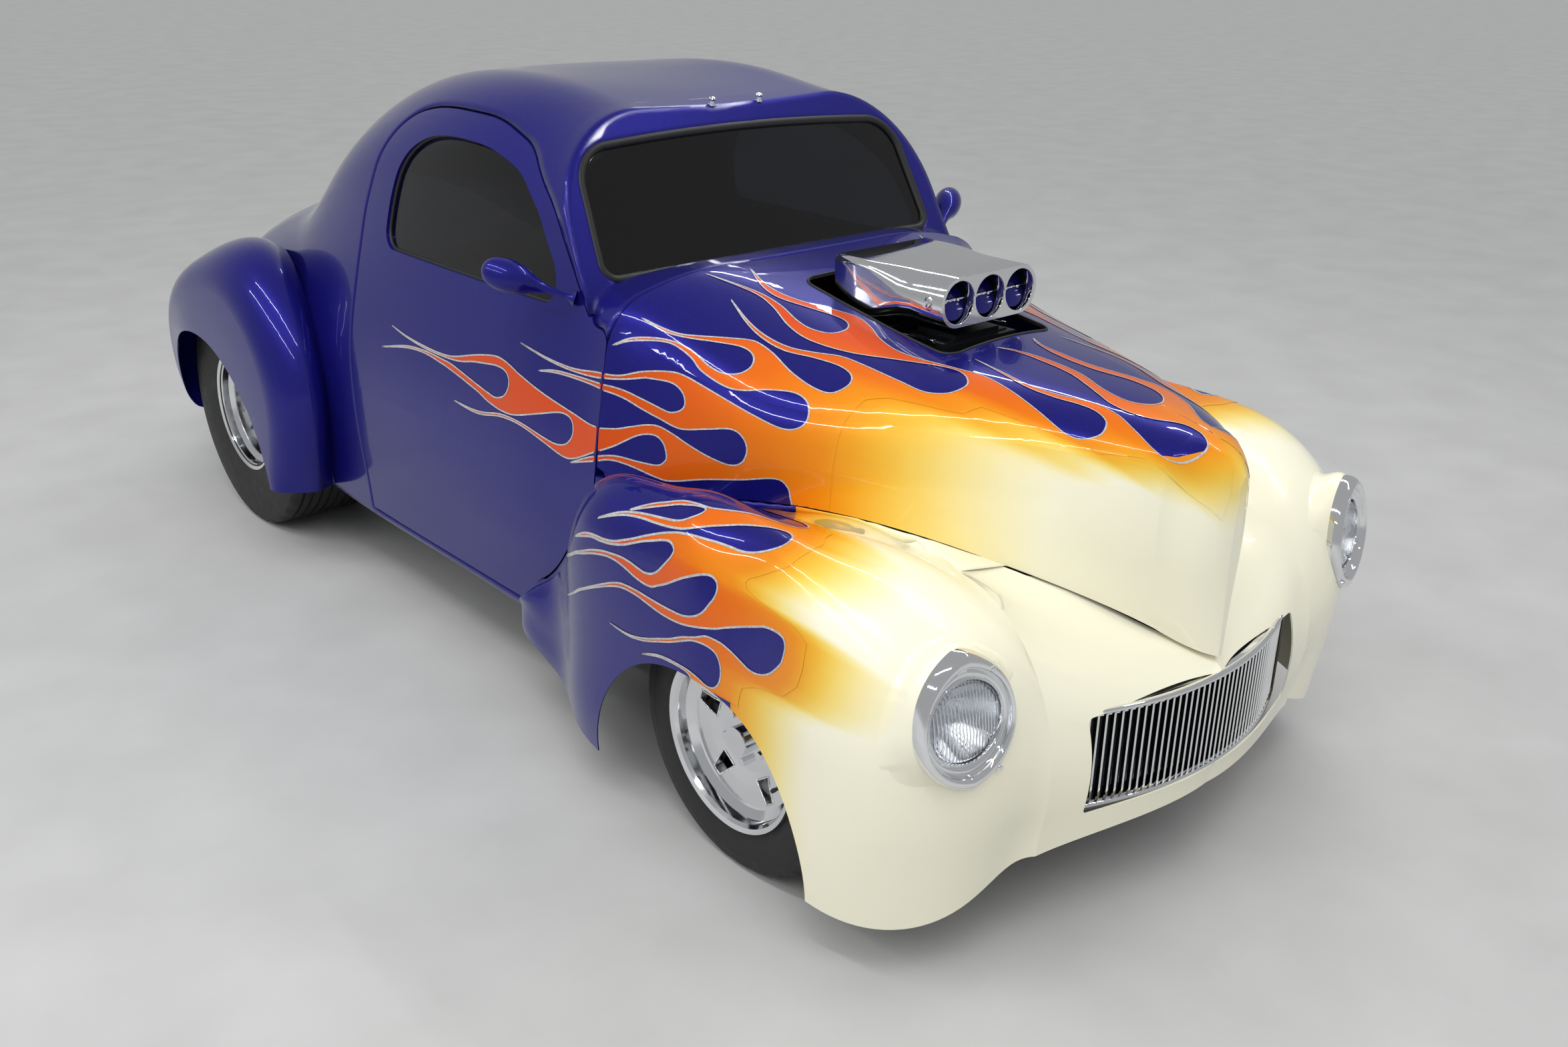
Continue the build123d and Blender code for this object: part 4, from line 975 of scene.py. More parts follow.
# a butterfly's section, (radius, height), and its lean: nearly shut, its foot forward
BUTTERFLY = (
    (0.003, -0.0016), (0.0465, -0.0016), (0.0475, -0.0008), (0.0475, 0.0008), (0.0465, 0.0016),
    (0.003, 0.0016),
)
BUTTERFLY_LEAN, BUTTERFLY_A = radians(24), 0.034


def oblong_ring(half_width, half_height, corner, centre_z, a):
    flat = rounded_oblong(half_width, half_height, corner, centre_z, 14)
    return [Vector((x, at(a), z)) for x, z in flat]


def hoop(centre, across, up, radius, count):
    # points round a circle in the plane of two directions
    turns = [2 * pi * k / count for k in range(count)]
    return [centre + across * (radius * cos(t)) + up * (radius * sin(t)) for t in turns]


rings = [oblong_ring(*row[:3], MOUTH_Z - row[3], row[4]) for row in CASE]
case = crease(loft("scoop_case", rings, *ALLOY, caps=(False, True)), 50)
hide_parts("scoop")

# its front face with the three mouths
points = [Vector((p.x, p.z)) for p in rings[0]]
loops = [list(range(len(points)))]
rim = MOUTH_RADIUS + MOUTH_ROLL
turns = [2 * pi * k / MOUTH_SIDES for k in range(MOUTH_SIDES)]
for x in MOUTHS:
    first = len(points)
    points += [Vector((x + rim * cos(t), MOUTH_Z + rim * sin(t))) for t in turns]
    loops.append(list(range(first, first + MOUTH_SIDES)))
edges = [pair for loop in loops for pair in zip(loop, loop[1:] + loop[:1])]
flat, _, tris, _, _, _ = delaunay_2d_cdt(points, edges, [], 0, 0.0)
faces = []
for tri in tris:
    middle_x, middle_z = (sum(flat[i][c] for i in tri) / 3 for c in (0, 1))
    if all(hypot(middle_x - x, middle_z - MOUTH_Z) >= MOUTH_RADIUS + 0.0015 for x in MOUTHS):
        cross = (flat[tri[1]] - flat[tri[0]]).cross(flat[tri[2]] - flat[tri[0]])
        faces.append(tri if cross > 0 else tri[::-1])
add_piece("scoop_face", [(p.x, at(FACE_A), p.y) for p in flat], faces, *ALLOY, smooth=False)

ACROSS_CAR, UPRIGHT = Vector((1, 0, 0)), Vector((0, 0, 1))
# the polished lip and the black throat of a mouth, as (radius, a); the throat's black is painted
# shade deep in the bore
LIP = (
    (MOUTH_RADIUS + MOUTH_ROLL, FACE_A), (MOUTH_RADIUS + 0.0006, 0.0), (MOUTH_RADIUS, 0.0016),
    (MOUTH_RADIUS, 0.020),
)
THROAT = ((MOUTH_RADIUS, 0.020), (MOUTH_RADIUS, 0.07), (MOUTH_RADIUS * 0.9, 0.13))


def mouth_rings(x, rows):
    return [
        hoop(Vector((x, at(a), MOUTH_Z)), ACROSS_CAR, UPRIGHT, radius, MOUTH_SIDES)
        for radius, a in rows
    ]


for number, x in enumerate(MOUTHS, 1):
    crease(loft(f"scoop_mouth_{number}", mouth_rings(x, LIP), *ALLOY, flip=True), 50)
    # black anodising in the throat: painted shade deep in the mouth
    painted_shade_throat = loft(
        f"scoop_painted_shade_throat_{number}", mouth_rings(x, THROAT), carb_black, "chassis", "dark_iron",
        flip=True, caps=(False, True),
    )
    crease(painted_shade_throat, 50)
    up = Vector((0, sin(BUTTERFLY_LEAN), cos(BUTTERFLY_LEAN)))
    thick = Vector((0, cos(BUTTERFLY_LEAN), -sin(BUTTERFLY_LEAN)))
    middle = Vector((x, at(BUTTERFLY_A), MOUTH_Z))
    discs = [hoop(middle + thick * d, ACROSS_CAR, up, r, MOUTH_SIDES) for r, d in BUTTERFLY]
    name = f"scoop_butterfly_painted_reflection_{number}"
    # the butterfly in the body's blue pearl: a painted reflection of the blue hood in its polished
    # face
    reflection_painted_plate = loft(name, discs, blue_pearl, "chassis", "blue_paint", caps=(True, True))
    crease(reflection_painted_plate, 40)
    if number == 1:
        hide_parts("scoop_butterflies")


def rod(name, start, end, profile, mat, body, slot, sides=24):
    # a turned piece along a line: profile is (share of the way, radius in metres)
    start, end = Vector(start), Vector(end)
    along_it = (end - start).normalized()
    first = along_it.orthogonal().normalized()
    second = along_it.cross(first)
    rings = [
        hoop(start.lerp(end, share), first, second, radius, sides) for share, radius in profile
    ]
    return crease(loft(name, rings, mat, body, slot, caps=(True, True)), 40)


SHAFT_A, SHAFT_HALF = 0.030, 0.172
SHAFT = [(0, 0.0028), (0.004, 0.0034), (0.996, 0.0034), (1, 0.0028)]
PLATE_SCREW = [(0, 0.0045), (0.75, 0.0045), (1, 0.0032)]
BOSS_A, BOSS_X, NUT_X, NUT_END = 0.038, 0.158, 0.1655, 0.179
BOSS = [(0, 0.016), (0.7, 0.016), (1, 0.013)]
NUT = [(0, 0.0095), (0.55, 0.0095), (0.6, 0.006), (1, 0.0055)]
RAIL_Z = 1.088
RAIL = [
    (0, 0.004), (0.02, 0.0085), (0.04, 0.0085), (0.05, 0.006), (0.95, 0.006), (0.96, 0.0085),
    (1, 0.0085),
]
LINK = [(0, 0.006), (0.05, 0.006), (0.07, 0.0028), (0.93, 0.0028), (0.95, 0.006), (1, 0.006)]
UNION = [(0, 0.006), (0.35, 0.006), (0.36, 0.0095), (0.75, 0.0095), (0.8, 0.007), (1, 0.006)]
UNIONS_A = (0.045, 0.135, 0.225, 0.315)
# a float bowl: half width, half height, corner, half length and how far off the middle
BOWL_SIZE, BOWL_Z, BOWL_HALF_LENGTH, BOWL_X = (0.050, 0.026, 0.010), 1.078, 0.058, 0.062
CARBURETTORS_A = (0.09, 0.27)

ends = [(x, at(SHAFT_A), MOUTH_Z) for x in (-SHAFT_HALF, SHAFT_HALF)]
rod("scoop_shaft", *ends, SHAFT, *CHROMED, 16)
for number, x in enumerate(MOUTHS, 1):
    for side, word in SIDES:
        ends = [(x + side * 0.021, at(SHAFT_A) - away, MOUTH_Z) for away in (0.001, 0.0075)]
        rod(f"butterfly_screw_{number}_{word}", *ends, PLATE_SCREW, *CHROMED, 12)
for side, word in SIDES:
    boss, nut, tip = ((side * x, at(BOSS_A), MOUTH_Z) for x in (BOSS_X, NUT_X, NUT_END))
    rod(f"shaft_boss_{word}", boss, nut, BOSS, *ALLOY, 32)
    rod(f"shaft_nut_{word}", nut, tip, NUT, *CHROMED, 6)
    ends = [(side * 0.098, at(a), RAIL_Z) for a in (0.03, 0.34)]
    rod(f"fuel_rail_{word}", *ends, RAIL, *ALLOY, 20)
    ends = (side * 0.125, at(0.05), 1.105), (side * 0.132, at(0.30), 1.100)
    rod(f"throttle_link_{word}", *ends, LINK, *CHROMED, 12)
    for number, a in enumerate(UNIONS_A, 1):
        ends = [(side * x, at(a), RAIL_Z) for x in (0.060, 0.108)]
        rod(f"fuel_union_{word}_{number}", *ends, UNION, *CHROMED, 6)
for number, a in enumerate(CARBURETTORS_A, 1):
    for side, word in SIDES:
        rings = [
            [
                p + ACROSS_CAR * (side * BOWL_X)
                for p in oblong_ring(*BOWL_SIZE, BOWL_Z, a + BOWL_HALF_LENGTH * way)
            ]
            for way in (-1, 1)
        ]
        name = f"float_bowl_{number}_{word}"
        bowl = loft(name, rings, carb_black, "chassis", "dark_iron", caps=(True, True))
        crease(bowl, 40, 0.003)

# Hood opening. The edge of the hole that the blower stands in is trimmed with black
# rubber pushed over the cut sheet.

rubber = finish("black_rubber", (0.012, 0.012, 0.013), 0.45)
pores = noise_of(rubber, 900, 2)
bumps(rubber, pores, 0.3, 0.0003)
vary_gloss(rubber, pores, 0.3, 0.7, 0.4, 0.55)
HOLE_HALF, HOLE_FROM, HOLE_TO, TRIM_RADIUS = 0.235, -0.12, 0.50, 0.0035


def sharp_chains(name, angle=50, keep=None):
    # the sharp edges of a node, chained into lines of points
    mesh = bmesh.new()
    mesh.from_mesh(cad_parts[name].data)
    bmesh.ops.remove_doubles(mesh, verts=mesh.verts, dist=0.0002)
    folds = (e for e in mesh.edges if len(e.link_faces) == 2)
    left = {e for e in folds if e.calc_face_angle(0) > radians(angle)}
    if keep:
        left = {e for e in left if keep((e.verts[0].co + e.verts[1].co) / 2)}
    chains = []
    for first in sorted(left, key=lambda e: e.index):
        if first not in left:
            continue
        left.discard(first)
        chain = [first.verts[0], first.verts[1]]
        for _ in range(2):
            options = True
            while options:
                tip = chain[-1]
                heading = (tip.co - chain[-2].co).normalized()
                options = sorted(
                    (e for e in tip.link_edges if e in left),
                    key=lambda e: -(e.other_vert(tip).co - tip.co).normalized().dot(heading),
                )
                if options:
                    left.discard(options[0])
                    chain.append(options[0].other_vert(tip))
            chain.reverse()
        chains.append([v.co.copy() for v in chain])
    mesh.free()
    return chains


def cord_along(name, chains, radius, mat, body):
    curve = bpy.data.curves.new(name, "CURVE")
    curve.dimensions = "3D"
    curve.bevel_depth = radius
    curve.bevel_resolution = 3
    curve.use_fill_caps = True
    for chain in chains:
        spline = curve.splines.new("POLY")
        spline.points.add(len(chain) - 1)
        for point, place in zip(spline.points, chain):
            point.co = (*place, 1)
        if (chain[0] - chain[-1]).length < 0.002:
            spline.use_cyclic_u = True
    curve.materials.append(mat)
    place_piece(name, curve, body)


def in_hood_hole(p):
    return abs(p.x) < HOLE_HALF and at(HOLE_FROM) < p.y < at(HOLE_TO) and p.z > 1.0


hole = [c for c in sharp_chains("hood", 50, in_hood_hole) if len(c) > 6]
cord_along("hood_hole_trim", hole, TRIM_RADIUS, rubber, "hood")

# Glass. The windshield, door and rear windows are dark-tinted laminated glass; thick black
# rubber holds the windshield and the rear window, and thin channels hold the door glass.

# (pane, body, radius of the rubber, its name)
PANES = (
    ("windshield", "chassis", 0.012, "windshield_gasket"),
    ("rear_glass", "chassis", 0.007, "rear_window_gasket"),
    ("door_glass_left", "door_left", 0.0055, "door_channel_left"),
    ("door_glass_right", "door_right", 0.0055, "door_channel_right"),
)

tinted = clear_glass("tinted_glass", (0.10, 0.105, 0.13), 1.45)
mottle(tinted, noise_of(tinted, 3, 2), 0.3, 0.7, (0.09, 0.095, 0.12), (0.11, 0.115, 0.14))
for pane, body, radius, label in PANES:
    dress(tinted, pane)
    chains = [c for c in sharp_chains(pane) if len(c) > 10]
    cord_along(label, chains, radius, rubber, body)

# Roof and mirror fittings. Two chromed knobs stand on the front of the roof, and each
# painted teardrop mirror carries its glass behind, facing the seats.

KNOB_X, KNOB_A, KNOB_FOOT, KNOB_TALL = 0.080, 0.908, 0.002, 0.020
KNOB = [
    (0, 0.010), (0.15, 0.010), (0.2, 0.0055), (0.5, 0.0055), (0.58, 0.0095), (0.75, 0.0105),
    (0.92, 0.0085), (1, 0.003),
]
# the mirror's root on a door, the way its stalk points, and the glass at its end
MIRROR_ROOT, MIRROR_WAY, MIRROR_REACH = (0.640, at(0.738), 1.149), (172, 126, 78), 0.145
MIRROR_HALF, MIRROR_TALL, MIRROR_BACK = 0.030, 0.026, 0.0285
MIRROR_RIM = ((1.0, 0.0), (0.96, 0.0016), (0.9, 0.002), (0.02, 0.0024))

roof = skin_of("body_shell")[0]
for side, word in SIDES:
    spot, up, _, _ = roof.ray_cast(Vector((side * KNOB_X, at(KNOB_A), 2.0)), Vector((0, 0, -1)))
    if up.z < 0:
        up = -up
    rod(f"roof_knob_{word}", spot - up * KNOB_FOOT, spot + up * KNOB_TALL, KNOB, *CHROMED, 28)
    way = Vector((side * MIRROR_WAY[0], *MIRROR_WAY[1:])).normalized()
    head = Vector((side * MIRROR_ROOT[0], *MIRROR_ROOT[1:])) + way * MIRROR_REACH
    back = (Vector((0, 1, 0)) - way * way.y).normalized()
    up = way.cross(back).normalized()
    rings = [
        hoop(head + back * (MIRROR_BACK + deep), way * MIRROR_HALF, up * MIRROR_TALL, share, 40)
        for share, deep in MIRROR_RIM
    ]
    pane = loft(
        f"mirror_glass_{word}", rings, chrome, f"door_{word}", "chrome_trim",
        flip=side > 0, caps=(False, True),
    )
    crease(pane, 60)

# Tyres. Moulded rubber on each wheel: ribbed treads on the narrow front pair and the wide
# rear pair, with plain sidewalls that carry two fine raised rings.

tyre_rubber = finish("tyre_rubber", (0.014, 0.014, 0.015), 0.62)
dust = noise_of(tyre_rubber, 35, 5)
mottle(tyre_rubber, dust, 0.4, 0.75, (0.010, 0.010, 0.011), (0.024, 0.023, 0.022))
bumps(tyre_rubber, noise_of(tyre_rubber, 700, 2), 0.35, 0.0004)
vary_gloss(tyre_rubber, dust, 0.3, 0.75, 0.5, 0.75)

# sizes in mm: the bead's radius, and the groove's and the shoulder slot's depth
WHEELBASE = 2.642
BEAD, GROOVE, SLOT = 190.5, 6.5, 3.6
RIB_PITCH, TREAD_SEGMENTS = 38, 192
# (end, x, a, radius, width)
TYRES = (("front", 0.700, 0, 319.6, 151), ("rear", 0.562, WHEELBASE, 401.6, 399))


def tyre_section(radius, width):
    # half a turn of the section, from bead to bead: (out, up, 1 on a shoulder)
    half = width / 2
    wall = []
    for k in range(33):
        t = k / 32
        out = half - 14 + 12.5 * sin(pi * t * 0.93)
        up = BEAD + (radius - 14 - BEAD) * t
        ring = 1.2 * exp(-((up - radius + 42) / 2.2) ** 2) + exp(-((up - BEAD - 14) / 2.5) ** 2)
        wall.append((min(out + ring, half - 0.4), up, 0))
    for inwards, down in ((14.5, 9.5), (19, 5), (28, 2.4)):
        wall.append((half - inwards, radius - down, 1))
    grooves = max(3, round(width / RIB_PITCH))
    flat = half - 34
    tread = []
    for g in range(grooves):
        middle = -flat + 2 * flat * (g + 0.5) / grooves
        for offset, deep in ((-5.2, 0), (-4.2, 1), (4.2, 1), (5.2, 0)):
            tread.append((middle + offset, radius - 1.2 - GROOVE * deep, 0))
    return [(-out, up, shoulder) for out, up, shoulder in wall] + tread + wall[::-1]


def tyre(name, x, a, radius, width, body, cad):
    # one turned carcass with grooves round the tread and slots across its shoulders
    profile = tyre_section(radius, width)
    many = len(profile)
    verts = []
    for i in range(TREAD_SEGMENTS):
        turn = 2 * pi * i / TREAD_SEGMENTS
        slotted = i % 6 in (0, 1)
        for out, up, shoulder in profile:
            reach = (up - SLOT * (shoulder and slotted)) / 1000
            verts.append((
                x + out / 1000, at(a) + reach * cos(turn),
                radius / 1000 + 0.0004 + reach * sin(turn),
            ))
    faces = []
    for i in range(TREAD_SEGMENTS):
        j = (i + 1) % TREAD_SEGMENTS
        for k in range(many - 1):
            faces.append((i * many + k, j * many + k, j * many + k + 1, i * many + k + 1))
    piece = add_piece(name, verts, faces, tyre_rubber, body, "tyre_rubber")
    crease(piece, 38)
    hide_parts(cad)


for side, word in SIDES:
    for end, x, a, radius, width in TYRES:
        body, cad = f"{end}_wheel_{word}", f"tyre_{end}_{word}"
        tyre(f"{end}_tyre_{word}", side * x, a, radius, width, body, cad)

# Wheels and brakes. Five-slot alloy wheels, turned and polished, each with a rubber valve;
# behind the front pair run plain turned steel discs, bolted to the same hubs.

# (end, a, height of the axle, how far out the wheel's face is, the valve's radius and x)
WHEELS = (
    ("front", 0.0, 0.320, 0.716, 0.150, 0.768), ("rear", WHEELBASE, 0.402, 0.597, 0.160, 0.735),
)
WINDOW_FROM, WINDOW_TO, LIP_RADIUS = 0.080, 0.172, 0.0024
VALVE_TURN, VALVE_IN, VALVE_OUT = radians(200), 0.024, 0.006
VALVE = [
    (0, 0.006), (0.25, 0.006), (0.4, 0.0042), (0.62, 0.0042), (0.66, 0.0052), (0.94, 0.0052),
    (1, 0.0035),
]
# the disc's section, (radius, x)
DISC = (
    (0.060, 0.700), (0.138, 0.700), (0.140, 0.6985), (0.140, 0.6865), (0.138, 0.685),
    (0.060, 0.685),
)
DISC_Z = 0.32

disc_steel = finish("turned_disc_steel", (0.46, 0.45, 0.44), 0.3, 1.0)
turned = node(
    disc_steel, "ShaderNodeTexWave", [("Scale", 60.0), ("Distortion", 1.0)],
    wave_type="RINGS", rings_direction="X",
)
shift = node(disc_steel, "ShaderNodeMapping", [("Location", (0, -AXLE_Y, -DISC_Z))])
link(disc_steel, position(disc_steel), shift.inputs["Vector"])
link(disc_steel, shift.outputs[0], turned.inputs["Vector"])
bumps(disc_steel, turned.outputs[1], 0.3, 0.0004)

for side, word in SIDES:
    for end, a, z, face, *_ in WHEELS:
        wheel = f"wheel_{end}_{word}"
        dress(polished_alloy, wheel)

        def at_window(p):
            from_axle = hypot(p.y - at(a), p.z - z)
            return abs(p.x) > face and WINDOW_FROM < from_axle < WINDOW_TO

        lips = [c for c in sharp_chains(wheel, 40, at_window) if len(c) > 3]
        name = f"wheel_window_lips_{end}_{word}"
        body = f"{end}_wheel_{word}"
        cord_along(name, lips, LIP_RADIUS, polished_alloy, body)
for side, word in SIDES:
    rings = [
        hoop(Vector((side * x, at(0), DISC_Z)), Vector((0, 1, 0)), UPRIGHT, radius, 96)
        for radius, x in DISC
    ]
    disc = loft(
        f"brake_disc_{word}", rings, disc_steel, f"front_wheel_{word}", "dark_iron",
        flip=side < 0, caps=(True, True),
    )
    crease(disc, 40)
    for end, a, z, _, radius, x in WHEELS:
        up, back = radius * sin(VALVE_TURN), radius * cos(VALVE_TURN)
        foot = Vector((side * x, at(a) + back, z + up))
        ends = [foot + ACROSS_CAR * (side * reach) for reach in (-VALVE_IN, VALVE_OUT)]
        rod(f"valve_{end}_{word}", *ends, VALVE, rubber, f"{end}_wheel_{word}", "tyre_rubber", 14)

# Cabin. Two bucket seats in dark red leather over foam, sewn in channels; a painted dash with
# round gauges; a polished three-spoke wheel with a leather rim on its column.

# each cushion's half sizes and lean, by whether it is a back
CUSHION_HALF = {True: Vector((0.220, 0.060, 0.300)), False: Vector((0.220, 0.260, 0.070))}
CUSHION_LEAN = {True: radians(-14), False: 0.0}
CUSHION_INSET = Vector((0.018, 0.017, 0.018))
BACK_Z = 0.65
VOXEL, PUFF, PUFF_STEPS, PUFF_LIMIT = 0.009, 4, 20, 0.024
CHANNEL_PITCH, CHANNEL_WIDTH, CHANNEL_DEEP = 0.062, 0.0075, 0.0075
SKIN_GAP = 0.0005
# (x, radius) of the gauges, the first one's place on the dash and their faces' slope
GAUGES = ((0.20, 0.028), (0.27, 0.045), (0.39, 0.045), (0.46, 0.028), (-0.05, 0.028), (0.05, 0.028))
GAUGE_A, GAUGE_Z = 0.9155, 0.997
DASH_OUT, DASH_UP = Vector((0, 0.974, -0.225)), Vector((0, 0.225, 0.974))
# a bezel's section, (how far in from the gauge's radius, height)
BEZEL = ((0, 0), (0, 0.006), (0.002, 0.008), (0.004, 0.007), (0.005, 0.002))
NEEDLE = [(0, 0.0016), (0.25, 0.0014), (1, 0.0004)]
RIM_CENTRE, RIM_FROM = (0.330, at(1.105), 1.010), 0.160

red_leather = finish("red_leather", (0.16, 0.012, 0.014), 0.42, 0.0, 0.15, 0.3)
hide = texture(red_leather, "ShaderNodeTexVoronoi", [("Scale", 520.0)], feature="DISTANCE_TO_EDGE")
bumps(red_leather, run(red_leather, hide[0], 0.0, 0.12), 0.35, 0.0005)
worn = noise_of(red_leather, 12, 4)
mottle(red_leather, worn, 0.35, 0.7, (0.15, 0.010, 0.012), (0.23, 0.020, 0.020))
dress(red_leather, "seats")


def cushion_middles():
    # the middle of each separate solid in the seats' node, by x and then by height
    solid = bmesh.new()
    solid.from_mesh(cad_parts["seats"].data)
    bmesh.ops.remove_doubles(solid, verts=solid.verts, dist=0.0001)
    unseen = set(solid.verts)
    middles = []
    for vert in solid.verts:
        if vert not in unseen:
            continue
        group, queue = [], [vert]
        unseen.discard(vert)
        while queue:
            here = queue.pop()
            group.append(here)
            for edge in here.link_edges:
                other = edge.other_vert(here)
                if other in unseen:
                    unseen.discard(other)
                    queue.append(other)
        middles.append(sum((v.co for v in group), Vector()) / len(group))
    solid.free()
    return sorted(middles, key=lambda m: (round(m.x, 2), round(m.z, 2)))


def as_shown(thing):
    # the mesh that its modifiers make
    return bpy.data.meshes.new_from_object(
        thing.evaluated_get(bpy.context.evaluated_depsgraph_get())
    )


cushions = []
for number, middle in enumerate(cushion_middles()):
    back = middle.z > BACK_Z
    lean = Matrix.Rotation(CUSHION_LEAN[back], 3, "X")
    small = CUSHION_HALF[back] - CUSHION_INSET
    mesh = bpy.data.meshes.new(f"cushion_start_{number}")
    signs = [(sx, sy, sz) for sx in (-1, 1) for sy in (-1, 1) for sz in (-1, 1)]
    corners = [Vector([s * size for s, size in zip(sign, small)]) for sign in signs]
    mesh.from_pydata(
        [tuple(lean.inverted() @ corner + middle) for corner in corners], [],
        [(0, 1, 3, 2), (4, 6, 7, 5), (0, 4, 5, 1), (2, 3, 7, 6), (0, 2, 6, 4), (1, 5, 7, 3)],
    )
    start = bpy.data.objects.new(f"cushion_{number + 1}", mesh)
    bpy.context.scene.collection.objects.link(start)
    fine = start.modifiers.new("voxels", "REMESH")
    fine.mode = "VOXEL"
    fine.voxel_size = VOXEL
    fine.use_smooth_shade = True
    done = as_shown(start)
    start.modifiers.clear()
    start.data = done
    cushions.append((start, middle, back, lean))
# the foam swells into its cover
for start, *_ in cushions:
    cloth = start.modifiers.new("foam", "CLOTH")
    cloth.settings.use_pressure = True
    cloth.settings.uniform_pressure_force = PUFF
    cloth.settings.effector_weights.gravity = 0
    cloth.settings.quality = 4
    cloth.point_cache.frame_start, cloth.point_cache.frame_end = 1, PUFF_STEPS
for tick in range(1, PUFF_STEPS + 1):
    bpy.context.scene.frame_set(tick)
for start, *_ in cushions:
    swollen = as_shown(start)
    for before, after in zip(start.data.vertices, swollen.vertices):
        moved = after.co - before.co
        if moved.length > PUFF_LIMIT:
            after.co = before.co + moved.normalized() * PUFF_LIMIT
    start.modifiers.clear()
    start.data = swollen
bpy.context.scene.frame_set(1)
for number, (start, middle, back, lean) in enumerate(cushions):
    # sewn channels run up the back and fore and aft on the seat
    half = CUSHION_HALF[back]
    limit = half - Vector((SKIN_GAP, SKIN_GAP, SKIN_GAP))
    for vert in start.data.vertices:
        local = lean @ (vert.co - middle)
        height = -local.y / half.y if back else local.z / half.z
        face = max(0.0, min(1.0, height * 1.6))
        edge = max(0.0, 1 - (local.x / (half.x - 0.02)) ** 6)
        lane = (local.x / CHANNEL_PITCH + 0.5) % 1.0 - 0.5
        dent = CHANNEL_DEEP * exp(-(lane * CHANNEL_PITCH / CHANNEL_WIDTH) ** 2) * face * edge
        local = Vector([max(-limit[c], min(limit[c], local[c])) for c in range(3)])
        if back:
            local.y += dent
        else:
            local.z -= dent
        vert.co = lean.inverted() @ local + middle
    start.data.polygons.foreach_set("use_smooth", [True] * len(start.data.polygons))
    start.data.materials.clear()
    start.data.materials.append(red_leather)
    start.name = f"seat_{'back' if back else 'cushion'}_{'right' if middle.x < 0 else 'left'}"
    finer = start.modifiers.new("finer", "SUBSURF")
    finer.levels = finer.render_levels = 1
    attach(start, "chassis")
    if number == 0:
        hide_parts("seats")

dash_paint = finish("dash_paint", (0.20, 0.014, 0.016), 0.35, 0.1, 1.0, 0.04)
grained = noise_of(dash_paint, 220, 3)
bumps(dash_paint, grained, 0.12, 0.0004)
mottle(dash_paint, grained, 0.3, 0.7, (0.16, 0.010, 0.012), (0.23, 0.018, 0.02))
dress(dash_paint, "dashboard")
dress(polished_alloy, "steering_column")
dial_white = finish("dial_face", (0.75, 0.74, 0.70), 0.5)
ticks = texture(dial_white, "ShaderNodeTexWave", [("Scale", 90.0)], bands_direction="X")
mottle(dial_white, ticks[1], 0.0, 0.12, (0.45, 0.44, 0.42), (0.78, 0.77, 0.73))
for number, (x, size) in enumerate(GAUGES):
    middle = Vector((x, at(GAUGE_A), GAUGE_Z)) + DASH_OUT * 0.0005
    bezel = [
        hoop(middle + DASH_OUT * out, -ACROSS_CAR, DASH_UP, size - inwards, 40)
        for inwards, out in BEZEL
    ]
    crease(loft(f"gauge_bezel_{number + 1}", bezel, *CHROMED), 60)
    dial = [
        hoop(middle + DASH_OUT * BEZEL[-1][1], -ACROSS_CAR, DASH_UP, radius, 40)
        for radius in (size - BEZEL[-1][0], 0.002)
    ]
    name = f"gauge_face_{number + 1}"
    loft(name, dial, dial_white, "chassis", "cream_paint", caps=(False, True))
    turn = radians(210 - 37 * number)
    needle = DASH_UP * sin(turn) - ACROSS_CAR * cos(turn)
    ends = [middle + DASH_OUT * 0.004 + needle * reach for reach in (-0.006, size - 0.009)]
    rod(f"gauge_needle_{number + 1}", *ends, NEEDLE, carb_black, "chassis", "frame_black", 8)

wheel_finish = finish("wheel_rim_and_spokes", (0.8, 0.8, 0.8), 0.3, 1.0)
split = node(wheel_finish, "ShaderNodeVectorMath", [(1, RIM_CENTRE)], operation="SUBTRACT")
link(wheel_finish, position(wheel_finish), split.inputs[0])
spread = node(wheel_finish, "ShaderNodeVectorMath", operation="LENGTH")
link(wheel_finish, split.outputs[0], spread.inputs[0])
on_rim = maths(wheel_finish, "GREATER_THAN", spread.outputs["Value"], RIM_FROM)
leather_on_alloy = blend_colours(wheel_finish, on_rim, (0.8, 0.8, 0.82), (0.14, 0.010, 0.012))
feed(wheel_finish, "Base Color", leather_on_alloy)
feed(wheel_finish, "Metallic", run(wheel_finish, on_rim, 0, 1, 1, 0))
vary_gloss(wheel_finish, on_rim, 0, 1, 0.12, 0.45)
bumps(wheel_finish, noise_of(wheel_finish, 300, 3), 0.15, 0.0004)
dress(wheel_finish, "steering_wheel")

# Tail lamps. Two small domed lenses moulded in red acrylic, prismed inside and let into
# the tails of the rear fenders.

red_lens = finish("red_lens", (0.42, 0.008, 0.008), 0.12, 0.0, 1.0, 0.02)
prisms = texture(red_lens, "ShaderNodeTexWave", [("Scale", 40.0)], bands_direction="Z")
bumps(red_lens, prisms[0], 0.4, 0.001)
dress(red_lens, "tail_lamps")

# Studio. A pale plain floor that runs out of view, soft even light, and three long strip
# lights overhead whose reflections run down the body as thin lines.

FLOOR_HALF = 70
LIGHT_COLOUR, LIGHT_STRENGTH = (0.95, 0.97, 1.0, 1), 0.5
BACKDROP_COLOUR, BACKDROP_STRENGTH = (0.80, 0.81, 0.82, 1), 0.46
# (side, place, aim, power, length, width)
STRIPS = (
    ("right", (-2.6, -1.0, 4.2), (-0.5, -0.6, 0.6), 60, 6.0, 0.08),
    ("side", (-3.9, -0.6, 3.1), (-0.6, -0.4, 0.9), 50, 6.5, 0.06),
    ("left", (2.4, -0.5, 4.4), (0.3, -0.4, 0.6), 60, 6.0, 0.08),
)

